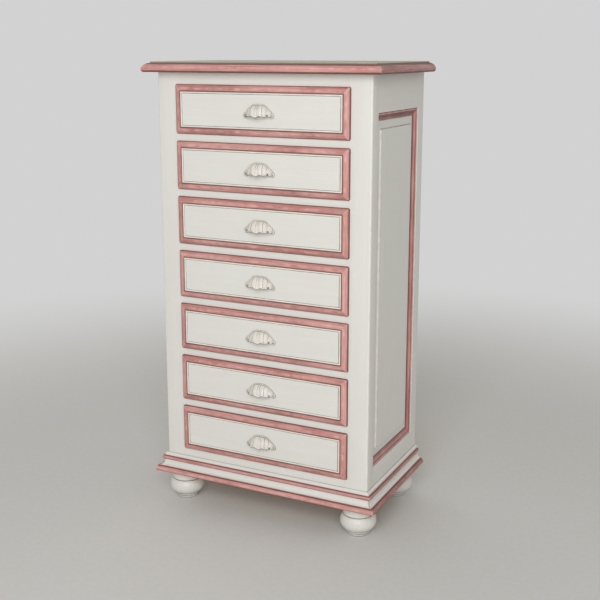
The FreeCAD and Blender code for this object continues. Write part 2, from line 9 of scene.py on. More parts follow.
import bmesh
import bpy
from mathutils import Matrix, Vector


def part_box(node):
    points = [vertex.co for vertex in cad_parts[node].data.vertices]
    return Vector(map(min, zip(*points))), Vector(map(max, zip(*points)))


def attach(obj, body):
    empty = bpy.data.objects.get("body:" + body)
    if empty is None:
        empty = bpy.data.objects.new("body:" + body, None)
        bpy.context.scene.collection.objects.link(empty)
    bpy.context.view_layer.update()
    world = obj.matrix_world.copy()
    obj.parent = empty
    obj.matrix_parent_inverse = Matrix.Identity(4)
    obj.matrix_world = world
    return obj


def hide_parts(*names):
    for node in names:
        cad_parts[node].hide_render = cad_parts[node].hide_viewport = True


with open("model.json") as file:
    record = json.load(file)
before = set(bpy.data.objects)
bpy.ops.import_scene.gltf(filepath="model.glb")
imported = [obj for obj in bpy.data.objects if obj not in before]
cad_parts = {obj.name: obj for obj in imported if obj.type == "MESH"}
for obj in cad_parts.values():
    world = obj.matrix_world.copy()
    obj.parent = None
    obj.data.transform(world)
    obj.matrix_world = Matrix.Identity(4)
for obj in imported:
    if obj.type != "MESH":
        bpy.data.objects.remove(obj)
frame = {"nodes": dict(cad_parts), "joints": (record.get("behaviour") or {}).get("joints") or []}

# A semainier in cream paint with rose mouldings, rubbed with brown wax. The wax marks also paint shade, and
# the rubbed marks also paint highlights. Sections and outlines are written in millimetres and turned into
# metres where a mesh is made. Places come from the frame's own boxes.

LOG = logging.getLogger("semainier")
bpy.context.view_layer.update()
MM = 0.001
BODY = "carcass"
PATINA_AND_SHADE = "patina_and_shade"
WEAR_AND_HIGHLIGHT = "wear_and_highlight"
UV_NAME = "strip"
SHARP_ANGLE = math.radians(35.0)
MERGE = 1e-6
MITRE_REACH = 4.0
SHADER_TREE = "ShaderNodeTree"
GEOMETRY_TREE = "GeometryNodeTree"
NUMBER = "NodeSocketFloat"
GEOMETRY = "NodeSocketGeometry"
MATERIAL = "NodeSocketMaterial"
ORIGIN = (0.0, 0.0, 0.0)

Pair = tuple[float, float]
Triple = tuple[float, float, float]
Four = tuple[float, float, float, float]
Socket = bpy.types.NodeSocket
Layers = tuple[Socket, Socket, Socket]
Vertex = bmesh.types.BMVert
Placing = Callable[[float, float, float], Vector]


def srgb(*channels: int) -> Four:
    """Turns a colour written as three bytes into linear light, with full alpha.

    Args:
        channels: Red, green and blue.

    Returns:
        The colour.
    """
    shares = [byte / 255 for byte in channels]
    linear = [share / 12.92 if share <= 0.04045 else ((share + 0.055) / 1.055) ** 2.4 for share in shares]
    return (*linear, 1.0)


def add_object(name: str, data: bpy.types.ID) -> bpy.types.Object:
    """Makes an object and links it to the scene.

    Args:
        name: Its name.
        data: Its mesh, lamp or camera.

    Returns:
        The object.
    """
    made = bpy.data.objects.new(name, data)
    bpy.context.scene.collection.objects.link(made)
    return made


# ------------------------------------------------------------------------------------------ node trees


class Graph:
    """Adds nodes to a tree and joins them."""

    def __init__(self, tree: bpy.types.NodeTree) -> None:
        """Works on one tree."""
        self.tree = tree

    def feed(self, node: bpy.types.Node, inputs: dict) -> None:
        """Gives a node its inputs.

        Args:
            node: The node.
            inputs: Values by input name or number. A socket is linked and anything else is set.
        """
        for key, value in inputs.items():
            if isinstance(value, Socket):
                self.tree.links.new(value, node.inputs[key])
            else:
                node.inputs[key].default_value = value

    def node(self, kind: str, inputs: dict | None = None, **settings: object) -> bpy.types.Node:
        """Adds one node.

        Args:
            kind: The node's type name.
            inputs: Values by input name or number.
            settings: The node's own settings.

        Returns:
            The node.
        """
        made = self.tree.nodes.new(kind)
        for name, value in settings.items():
            setattr(made, name, value)
        self.feed(made, inputs or {})
        return made

    def first(self, kind: str, inputs: dict | None = None, **settings: object) -> Socket:
        """Adds one node and gives its first output."""
        return self.node(kind, inputs, **settings).outputs[0]

    def math(self, operation: str, first: object, second: object = 0.0) -> Socket:
        """Result of one sum on numbers, in a shader tree or a geometry tree."""
        return self.first("ShaderNodeMath", {0: first, 1: second}, operation=operation)

    def times(self, first: object, second: object) -> Socket:
        """Product of two numbers."""
        return self.math("MULTIPLY", first, second)

    def plus(self, first: object, second: object) -> Socket:
        """Sum of two numbers."""
        return self.math("ADD", first, second)

    def xyz(self, x: object = 0.0, y: object = 0.0, z: object = 0.0) -> Socket:
        """Vector of three numbers."""
        return self.first("ShaderNodeCombineXYZ", {0: x, 1: y, 2: z})

    def parts(self, vector: object) -> Sequence[Socket]:
        """The three numbers of a vector."""
        return self.node("ShaderNodeSeparateXYZ", {0: vector}).outputs

    def scaled(self, vector: object, factors: object) -> Socket:
        """A vector multiplied axis by axis."""
        return self.first("ShaderNodeVectorMath", {0: vector, 1: factors}, operation="MULTIPLY")

    def noise(self, vector: object, scale: object = 1.0, detail: float = 2.0, output: str = "Fac") -> Socket:
        """Noise about a half."""
        inputs = {"Vector": vector, "Scale": scale, "Detail": detail}
        return self.node("ShaderNodeTexNoise", inputs).outputs[output]

    def ramp(self, value: object, low: float, high: float) -> Socket:
        """Smooth step from 0 at the low value to 1 at the high one."""
        inputs = {"Value": value, "From Min": low, "From Max": high}
        return self.first("ShaderNodeMapRange", inputs, interpolation_type="SMOOTHSTEP")

    def blend(self, share: object, first: object, second: object) -> Socket:
        """Colour between two colours."""
        return self.node("ShaderNodeMix", {0: share, 6: first, 7: second}, data_type="RGBA").outputs[2]

    def between(self, share: object, first: object, second: object) -> Socket:
        """Number between two numbers."""
        return self.first("ShaderNodeMix", {0: share, 2: first, 3: second}, data_type="FLOAT")

    def attribute(self, name: str) -> Socket:
        """A value that the mesh carries at its points."""
        return self.node("ShaderNodeAttribute", attribute_name=name).outputs["Fac"]


def fresh_graph(owner: bpy.types.Material | bpy.types.World) -> Graph:
    """Graph of a material or a world, emptied of the nodes that it starts with.

    Args:
        owner: The material or world.

    Returns:
        The graph.
    """
    owner.use_nodes = True
    owner.node_tree.nodes.clear()
    return Graph(owner.node_tree)


def new_group(name: str, kind: str, inputs: dict[str, object], *outputs: str) -> tuple:
    """Starts a node group with named sockets.

    Args:
        name: The group's name.
        kind: The tree's type name.
        inputs: Default value of each input by name, or a socket type for one without a value.
        outputs: Names of the outputs, which are numbers in a shader tree and else geometry.

    Returns:
        The group's graph, the sockets of its inputs and its output node.
    """
    kinds = {float: NUMBER, int: "NodeSocketInt", tuple: "NodeSocketVector"}
    tree = bpy.data.node_groups.new(name, kind)
    for label, value in inputs.items():
        socket_type = value if isinstance(value, str) else kinds[type(value)]
        socket = tree.interface.new_socket(label, in_out="INPUT", socket_type=socket_type)
        if not isinstance(value, str):
            socket.default_value = value
    for label in outputs:
        socket_type = NUMBER if kind == SHADER_TREE else GEOMETRY
        tree.interface.new_socket(label, in_out="OUTPUT", socket_type=socket_type)
    graph = Graph(tree)
    return graph, graph.node("NodeGroupInput").outputs, graph.node("NodeGroupOutput")


@cache
def brush_group() -> bpy.types.NodeTree:
    """Group for brushed paint: streaks along the grain and clouds, as a tone and a height.

    Returns:
        The group.
    """
    sizes = {"Vector": ORIGIN, "Along": 6.0, "Across": 260.0, "Cloud": 9.0}
    g, given, result = new_group("brush_strokes", SHADER_TREE, sizes, "Tone", "Height")
    stretch = g.xyz(given["Along"], given["Across"], given["Across"])
    streaks = g.noise(g.scaled(given["Vector"], stretch), detail=3.0)
    broad = g.noise(g.scaled(given["Vector"], g.scaled(stretch, (0.35, 0.22, 0.22))))
    clouds = g.noise(given["Vector"], given["Cloud"], 3.0)
    tone = g.plus(g.plus(g.times(streaks, 0.4), g.times(broad, 0.35)), g.times(clouds, 0.25))
    g.feed(result, {"Tone": tone, "Height": streaks})
    return g.tree


@cache
def patina_and_shade_group() -> bpy.types.NodeTree:
    """Group for brown wax and painted shade: lines that follow the recesses, broken by hand, and a thin film
    elsewhere.

    Returns:
        The group.
    """
    sizes = {"Vector": ORIGIN, "Recess": 0.0, "Film": 0.1, "Break": 0.5}
    g, given, result = new_group("wax_patina_and_painted_shade", SHADER_TREE, sizes, "Mask")
    fine = g.noise(g.scaled(given["Vector"], (55.0, 190.0, 190.0)), detail=4.0)
    long = g.noise(g.scaled(given["Vector"], (9.0, 30.0, 30.0)))
    wobble = g.math("SUBTRACT", g.plus(g.times(fine, 0.5), g.times(long, 0.9)), 0.7)
    pushed = g.plus(given["Recess"], g.times(wobble, given["Break"]))
    lines = g.times(g.ramp(pushed, 0.16, 0.78), g.ramp(given["Recess"], 0.02, 0.22))
    film = g.times(g.ramp(g.plus(fine, g.times(wobble, 0.4)), 0.42, 0.95), given["Film"])
    g.feed(result, {"Mask": g.math("MAXIMUM", lines, film)})
    return g.tree


@cache
def wear_and_highlight_group() -> bpy.types.NodeTree:
    """Group for rubbed arrises and painted highlights: a patchy mask that is strongest where the wear
    attribute is.

    Returns:
        The group.
    """
    sizes = {"Vector": ORIGIN, "Edge": 0.0, "Amount": 0.5}
    g, given, result = new_group("rubbed_edge_and_painted_highlight", SHADER_TREE, sizes, "Mask")
    rubbed_and_highlit = g.times(given["Edge"], g.ramp(g.noise(given["Vector"], 38.0, 5.0), 0.38, 0.66))
    g.feed(result, {"Mask": g.times(rubbed_and_highlit, given["Amount"])})
    return g.tree


@cache
def grain_group() -> bpy.types.NodeTree:
    """Group for sawn wood: growth bands along the grain and short pores.

    Returns:
        The group.
    """
    sizes = {"Vector": ORIGIN, "Bands": 55.0, "Bend": 0.012}
    g, given, result = new_group("wood_grain", SHADER_TREE, sizes, "Bands", "Pores")
    vector = given["Vector"]
    sway = g.noise(g.scaled(vector, (2.0, 7.0, 7.0)), output="Color")
    bend = g.scaled(sway, g.xyz(0.0, given["Bend"], given["Bend"]))
    moved = g.first("ShaderNodeVectorMath", {0: vector, 1: bend}, operation="ADD")
    bands = g.noise(g.scaled(moved, g.xyz(1.2, given["Bands"], given["Bands"])), detail=3.0)
    pores = g.noise(g.scaled(vector, (60.0, 1500.0, 1500.0)))
    g.feed(result, {"Bands": g.ramp(bands, 0.3, 0.7), "Pores": g.ramp(pores, 0.56, 0.74)})
    return g.tree


# ------------------------------------------------------------------------------------------ finishes


class Grain(Enum):
    """What a pattern follows: the piece's own strips, or an axis of the chest."""

    STRIP = "strip"
    X = "x"
    Y = "y"
    Z = "z"


def grain_vector(graph: Graph, grain: Grain) -> Socket:
    """Place on the surface with its first axis along the grain, in metres.

    Args:
        graph: The material's graph.
        grain: What the pattern follows.

    Returns:
        The place.
    """
    if grain is Grain.STRIP:
        return graph.first("ShaderNodeUVMap", uv_map=UV_NAME)
    place = graph.node("ShaderNodeTexCoord").outputs["Object"]
    if grain is Grain.X:
        return place
    parts = graph.parts(place)
    order = (1, 0, 2) if grain is Grain.Y else (2, 0, 1)
    return graph.xyz(*(parts[axis] for axis in order))


@dataclass(frozen=True)
class Finish:
    """A finish that makes one material for each way that its pattern can lie.

    The relief is the height of its bump in metres.
    """

    name: str
    relief: float = 0.00003
    relief_strength: float = 1.0
    metallic: float = 0.0

    def layers(self, g: Graph, place: Socket) -> Layers:
        """Colour, roughness and height at a place on the surface."""
        raise NotImplementedError

    def on(self, grain: Grain) -> bpy.types.Material:
        """The finish with its pattern along a grain.

        Args:
            grain: What the pattern follows.

        Returns:
            The material, made when it is first asked for.
        """
        label = f"{self.name}_{grain.value}"
        if label in bpy.data.materials:
            return bpy.data.materials[label]
        material = bpy.data.materials.new(label)
        g = fresh_graph(material)
        colour, roughness, height = self.layers(g, grain_vector(g, grain))
        bump = g.first("ShaderNodeBump", {
            "Height": height, "Distance": self.relief, "Strength": self.relief_strength})
        shader = g.first("ShaderNodeBsdfPrincipled", {
            "Base Color": colour, "Metallic": self.metallic, "Roughness": roughness, "Normal": bump})
        g.node("ShaderNodeOutputMaterial", {"Surface": shader})
        return material


@dataclass(frozen=True, kw_only=True)
class BrushedPaint(Finish):
    """Hand-brushed satin paint with wax in its recesses and rubbed arrises; its wax colour also paints shade
    and its worn colour highlights.
    """

    pale: Four
    deep: Four
    wax_and_shade: Four
    worn_and_highlight: Four
    roughness: float = 0.42
    gloss_swing: Pair = (0.05, -0.04)
    wax_roughness: float = 0.62
    contrast: float = 1.0
    tone_half: float = 0.16
    film: float = 0.08
    line_break: float = 0.55
    line_strength: float = 0.9
    rub_and_highlight: float = 0.8
    rub_depth: float = 0.5
    along: float = 6.0
    across: float = 260.0
    relief: float = 0.00006
    relief_strength: float = 0.8

    def layers(self, g: Graph, place: Socket) -> Layers:
        """Colour, roughness and height of the paint.

        Args:
            g: The material's graph.
            place: Place on the surface along the brush strokes.

        Returns:
            The three sockets.
        """
        strokes = {"Vector": place, "Along": self.along, "Across": self.across}
        brush = g.node("ShaderNodeGroup", strokes, node_tree=brush_group()).outputs
        lines = {"Vector": place, "Recess": g.attribute(PATINA_AND_SHADE), "Film": self.film, "Break": self.line_break}
        wax_and_shade = g.first("ShaderNodeGroup", lines, node_tree=patina_and_shade_group())
        edges = {"Vector": place, "Edge": g.attribute(WEAR_AND_HIGHLIGHT), "Amount": self.rub_and_highlight}
        wear_and_highlight = g.first("ShaderNodeGroup", edges, node_tree=wear_and_highlight_group())
        half = self.tone_half / self.contrast
        tone = g.ramp(brush["Tone"], 0.5 - half, 0.5 + half)
        rubbed_and_highlit = g.blend(wear_and_highlight, g.blend(tone, self.deep, self.pale), self.worn_and_highlight)
        wax_and_shade_mask = g.times(wax_and_shade, self.line_strength)
        gloss = g.between(tone, *(self.roughness + swing for swing in self.gloss_swing))
        height = g.math("SUBTRACT", brush["Height"], g.times(wear_and_highlight, self.rub_depth))
        return g.blend(wax_and_shade_mask, rubbed_and_highlit, self.wax_and_shade), g.between(wax_and_shade_mask, gloss, self.wax_roughness), height


@dataclass(frozen=True, kw_only=True)
class SawnWood(Finish):
    """Unpainted wood with growth bands, pores and handling marks."""

    pale: Four
    deep: Four
    pore: Four
    bands: float = 55.0
    band_height: float = 0.4
    pore_strength: float = 0.55
    stain_scale: float = 7.0
    stain_strength: float = 0.35
    roughness: float = 0.62
    roughness_swing: float = 0.1
    relief: float = 0.00015
    relief_strength: float = 0.7

    def layers(self, g: Graph, place: Socket) -> Layers:
        """Colour, roughness and height of the wood.

        Args:
            g: The material's graph.
            place: Place on the surface along the grain.

        Returns:
            The three sockets.
        """
        sizes = {"Vector": place, "Bands": self.bands}
        wood = g.node("ShaderNodeGroup", sizes, node_tree=grain_group()).outputs
        stain = g.ramp(g.noise(place, self.stain_scale, 3.0), 0.45, 0.8)
        base = g.blend(wood["Bands"], self.pale, self.deep)
        pored = g.blend(g.times(wood["Pores"], self.pore_strength), base, self.pore)
        aged = g.blend(g.times(stain, self.stain_strength), pored, self.deep)
        rough = g.between(wood["Bands"], self.roughness, self.roughness + self.roughness_swing)
        return aged, rough, g.math("SUBTRACT", g.times(wood["Bands"], self.band_height), wood["Pores"])


@dataclass(frozen=True, kw_only=True)
class OldMetal(Finish):
    """Small metal fastener with tarnish and fine scratches."""

    bright: Four
    tarnish: Four
    roughness: float = 0.38
    roughness_swing: float = 0.2
    metallic: float = 1.0
    along: float = 300.0
    across: float = 2600.0
    cloud: float = 420.0

    def layers(self, g: Graph, place: Socket) -> Layers:
        """Colour, roughness and height of the metal.

        Args:
            g: The material's graph.
            place: Place on the surface along the scratches.

        Returns:
            The three sockets.
        """
        sizes = {"Vector": place, "Along": self.along, "Across": self.across, "Cloud": self.cloud}
        brush = g.node("ShaderNodeGroup", sizes, node_tree=brush_group()).outputs
        tone = g.ramp(brush["Tone"], 0.4, 0.6)
        rough = g.between(tone, self.roughness + self.roughness_swing, self.roughness)
        return g.blend(tone, self.tarnish, self.bright), rough, brush["Height"]


# The wax colours paint real wax and painted shade alike; the worn colours paint rubbed paint and painted
# highlights alike.
ROSE_WAX_AND_SHADE = srgb(108, 70, 62)
GREY_WAX_AND_SHADE = srgb(124, 114, 96)
CREAM = BrushedPaint(
    name="cream_paint", pale=srgb(228, 228, 225), deep=srgb(222, 221, 214), wax_and_shade=GREY_WAX_AND_SHADE,
    worn_and_highlight=srgb(248, 242, 223), roughness=0.4, contrast=0.5, film=0.04, line_break=0.8, line_strength=0.75,
    relief=0.00004)
ROSE = BrushedPaint(
    name="rose_paint", pale=srgb(219, 165, 161), deep=srgb(184, 117, 112), wax_and_shade=ROSE_WAX_AND_SHADE,
    worn_and_highlight=srgb(229, 186, 180), roughness=0.36, film=0.22, line_strength=0.92, along=9.0, across=240.0)
# Greyer paint for the top, also set darker than the cream to stand for the weaker light that falls on the top
# (painted shade).
TOP_GREY_AND_SHADED = BrushedPaint(
    name="top_paint", pale=srgb(184, 181, 166), deep=srgb(162, 158, 140), wax_and_shade=GREY_WAX_AND_SHADE,
    worn_and_highlight=srgb(206, 201, 184), roughness=0.58, film=0.2, along=3.0, across=120.0)
CAST = BrushedPaint(
    name="cast_paint", pale=srgb(231, 227, 221), deep=srgb(222, 217, 209), wax_and_shade=srgb(96, 88, 78),
    worn_and_highlight=srgb(240, 236, 230), roughness=0.34, film=0.05, line_break=0.35, along=60.0, across=180.0)
CARCASS_WOOD = SawnWood(
    name="carcass_wood", pale=srgb(206, 176, 134), deep=srgb(176, 140, 98), pore=srgb(120, 88, 58))
FRONT_CORE = SawnWood(
    name="front_core", pale=srgb(192, 160, 116), deep=srgb(164, 130, 88), pore=srgb(112, 82, 52), bands=90.0)
DRAWER_WOOD = SawnWood(
    name="drawer_wood", pale=srgb(214, 188, 148), deep=srgb(188, 156, 114), pore=srgb(132, 100, 68),
    bands=42.0)
PLYWOOD = SawnWood(
    name="plywood", pale=srgb(214, 194, 158), deep=srgb(192, 166, 124), pore=srgb(146, 116, 82), bands=24.0)
BACK_BOARD = SawnWood(
    name="back_board", pale=srgb(190, 164, 126), deep=srgb(164, 136, 98), pore=srgb(110, 84, 58), bands=20.0)
SCREW = OldMetal(name="screw_metal", bright=srgb(222, 218, 206), tarnish=srgb(186, 178, 160), metallic=0.2)
PIN = OldMetal(name="pin_metal", bright=srgb(168, 164, 156), tarnish=srgb(92, 86, 78))


# ------------------------------------------------------------------------------------------ sections


def shares_of(steps: int) -> list[float]:
    """Shares of the way at a number of even steps, without the start."""
    return [index / steps for index in range(1, steps + 1)]


def part_way(start: Pair, end: Pair, first: float, second: float) -> Pair:
    """Point between a start and an end, by its share of the way along each axis."""
    return (start[0] + (end[0] - start[0]) * first, start[1] + (end[1] - start[1]) * second)


def quarter_turns(steps: int) -> list[float]:
    """Angles at the steps of a quarter turn, without its start."""
    return [math.pi / 2 * index / steps for index in range(1, steps + 1)]


def quarter_up(start: Pair, end: Pair, steps: int = 10, fullness: float = 2.0) -> list[Pair]:
    """Points of a quarter round that leaves its start along the second axis and ends along the first.

    Args:
        start: Where it starts.
        end: Where it ends.
        steps: Number of its steps.
        fullness: 2 for an ellipse, less for a flatter curve.

    Returns:
        The points after the start.
    """
    power = 2 / fullness
    return [(end[0] - (end[0] - start[0]) * max(0.0, math.cos(turn)) ** power,
             start[1] + (end[1] - start[1]) * math.sin(turn) ** power) for turn in quarter_turns(steps)]


def quarter_across(start: Pair, end: Pair, steps: int) -> list[Pair]:
    """Points of a quarter round that leaves its start along the first axis and ends along the second."""
    return [(start[0] + (end[0] - start[0]) * math.sin(turn), end[1] - (end[1] - start[1]) * math.cos(turn))
            for turn in quarter_turns(steps)]


def cove(start: Pair, end: Pair, power: float, steps: int) -> list[Pair]:
    """Points of a hollow curve that leaves the start steeply and flattens towards the end."""
    return [part_way(start, end, share, 1 - (1 - share) ** power) for share in shares_of(steps)]


def half_round(start: Pair, end: Pair, stand: Pair, steps: int) -> list[Pair]:
    """Points of a half round from the start to the end that stands out by a vector in its middle.

    Args:
        start: Where it starts, left out of the points.
        end: Where it ends.
        stand: How far its middle stands out.
        steps: Number of points.

    Returns:
        The points.
    """
    points = []
    for turn in (math.pi * index / steps for index in range(1, steps + 1)):
        share = (1 - math.cos(turn)) / 2
        x, y = part_way(start, end, share, share)
        points.append((x + stand[0] * math.sin(turn), y + stand[1] * math.sin(turn)))
    return points


@dataclass(frozen=True)
class Mark:
    """A mark along a moulding for gathered wax and painted shade, or for rubbed paint and painted highlights:
    a place in the section and a reach.
    """

    at: Pair
    reach: float
    amount: float = 1.0
    strips: Four = (1.0, 1.0, 1.0, 1.0)

    def strength(self, point: Pair, strip: int = 0) -> float:
        """How strong the mark is at a point of the section, on one strip of the path."""
        return self.strips[strip] * self.amount * math.exp(-(math.dist(self.at, point) / self.reach) ** 2)


def gathered(marks: Sequence[Mark], point: Pair, strip: int = 0) -> float:
    """How strong some marks are together at a point of the section, 1 at most."""
    return min(1.0, sum(mark.strength(point, strip) for mark in marks))


@dataclass(frozen=True)
class Section:
    """Outline of a moulding in millimetres, with its marks of wax and painted shade and its marks of wear and
    painted highlights.
    """

    outline: Sequence[Pair]
    wax_and_shade_marks: Sequence[Mark] = ()
    wear_and_highlight_marks: Sequence[Mark] = ()
    closed: bool = True
    step: float = 1.1
    mitre_wax: float = 0.0
    mitre_wear_and_highlight: float = 0.0
    strip_wax_and_shade: Four = (0.0, 0.0, 0.0, 0.0)

    def dense(self) -> list[Pair]:
        """The outline with points no further apart than the step.

        Returns:
            The points.
        """
        ends = list(self.outline[1:]) + ([self.outline[0]] if self.closed else [])
        points = [self.outline[0]]
        for start, end in zip(self.outline, ends):
            count = max(1, math.ceil(math.dist(start, end) / self.step))
            points += [part_way(start, end, share, share) for share in shares_of(count)]
        return points[:-1] if self.closed else points


# ------------------------------------------------------------------------------------------ paths


# Signs of the way to the middle and angle at which the arc starts, from a rectangle's low corner round.
CORNERS = (((1, 1), math.pi), ((-1, 1), 1.5 * math.pi), ((-1, -1), 0.0), ((1, -1), 0.5 * math.pi))


def corner_arc(corner: Pair, number: int, radius: float, steps: int) -> list[Pair]:
    """Points round a rectangle's corner.

    Args:
        corner: The corner.
        number: Which of the four it is.
        radius: Radius of the corner. Where it is zero, the points of the arc coincide.
        steps: Number of its steps.

    Returns:
        One point before the arc, the arc's points and one after it.
    """
    inward, first_turn = CORNERS[number]
    centre = (corner[0] + inward[0] * radius, corner[1] + inward[1] * radius)
    turns = [first_turn + math.pi / 2 * index / steps for index in range(steps + 1)]
    arc = [(centre[0] + radius * math.cos(turn), centre[1] + radius * math.sin(turn)) for turn in turns]
    before, after = turns[0], turns[-1]
    lead = (arc[0][0] + MITRE_REACH * math.sin(before), arc[0][1] - MITRE_REACH * math.cos(before))
    trail = (arc[-1][0] - MITRE_REACH * math.sin(after), arc[-1][1] + MITRE_REACH * math.cos(after))
    return [lead] + arc + [trail]


def rectangle(low: Pair, high: Pair) -> list[Pair]:
    """The four corners of a rectangle, from the low one round."""
    return [(low[0], low[1]), (high[0], low[1]), (high[0], high[1]), (low[0], high[1])]


@dataclass(frozen=True)
class ClosedFrame:
    """Path all round a rectangle, for mouldings that run inward from its edge.

    Where a border is wider at the low and high ends than at the sides, `extra` is the difference and
    `widens` gives the insets between which it grows.
    """

    low: Pair
    high: Pair
    radius: float = 0.0
    steps: int = 5
    extra: float = 0.0
    widens: Pair = (0.0, 1.0)
    wraps = True

    def on_mitre(self, index: int) -> bool:
        """Whether a point of the loop lies on a corner's arc."""
        return 0 < index % (self.steps + 3) < self.steps + 2

    def strip(self, index: int) -> int:
        """Strip that a point of the loop is on: 0 low, 1 high first axis, 2 high, 3 low first axis."""
        corner, place = divmod(index, self.steps + 3)
        return (corner - 1) % 4 if place == 0 else corner

    def loop(self, inset: float) -> list[Pair]:
        """Points of the path at an inset.

        Args:
            inset: How far inside the rectangle.

        Returns:
            The points, corner by corner.
        """
        share = (inset - self.widens[0]) / (self.widens[1] - self.widens[0])
        end = inset + self.extra * min(1.0, max(0.0, share))
        low = (self.low[0] + inset, self.low[1] + end)
        high = (self.high[0] - inset, self.high[1] - end)
        radius = max(self.radius - inset, 0.0)
        points = []
        for number, corner in enumerate(rectangle(low, high)):
            points += corner_arc(corner, number, radius, self.steps)
        return points


@dataclass(frozen=True)
class OpenFrame:
    """Path round the front and both sides of the chest, for mouldings that stand out from it."""

    half_width: float
    front: float
    back: float
    radius: float
    steps: int = 4
    wraps = False

    def on_mitre(self, index: int) -> bool:
        """Whether a point of the loop lies on a corner's arc."""
        return index > 0 and 0 < (index - 1) % (self.steps + 3) < self.steps + 2

    def strip(self, index: int) -> int:
        """Strip that a point of the loop is on: 0 left, 1 front, 2 right."""
        corner, place = divmod(index - 1, self.steps + 3)
        return corner if index == 0 or place == 0 else min(corner + 1, 2)

    def loop(self, overhang: float) -> list[Pair]:
        """Points of the path at an overhang, from the back left corner to the back right one.

        Args:
            overhang: How far outside the path.

        Returns:
            The points.
        """
        side, front = self.half_width + overhang, self.front - overhang
        left, right = (corner_arc(corner, number, self.radius, self.steps)
                       for number, corner in enumerate([(-side, front), (side, front)]))
        return [(-side, self.back)] + left + right + [(side, self.back)]


# ------------------------------------------------------------------------------------------ meshes


def smooth(mesh: bpy.types.Mesh) -> None:
    """Shades a mesh smooth but for its sharp edges."""
    mesh.polygons.foreach_set("use_smooth", [True] * len(mesh.polygons))
    mesh.set_sharp_from_angle(angle=SHARP_ANGLE)


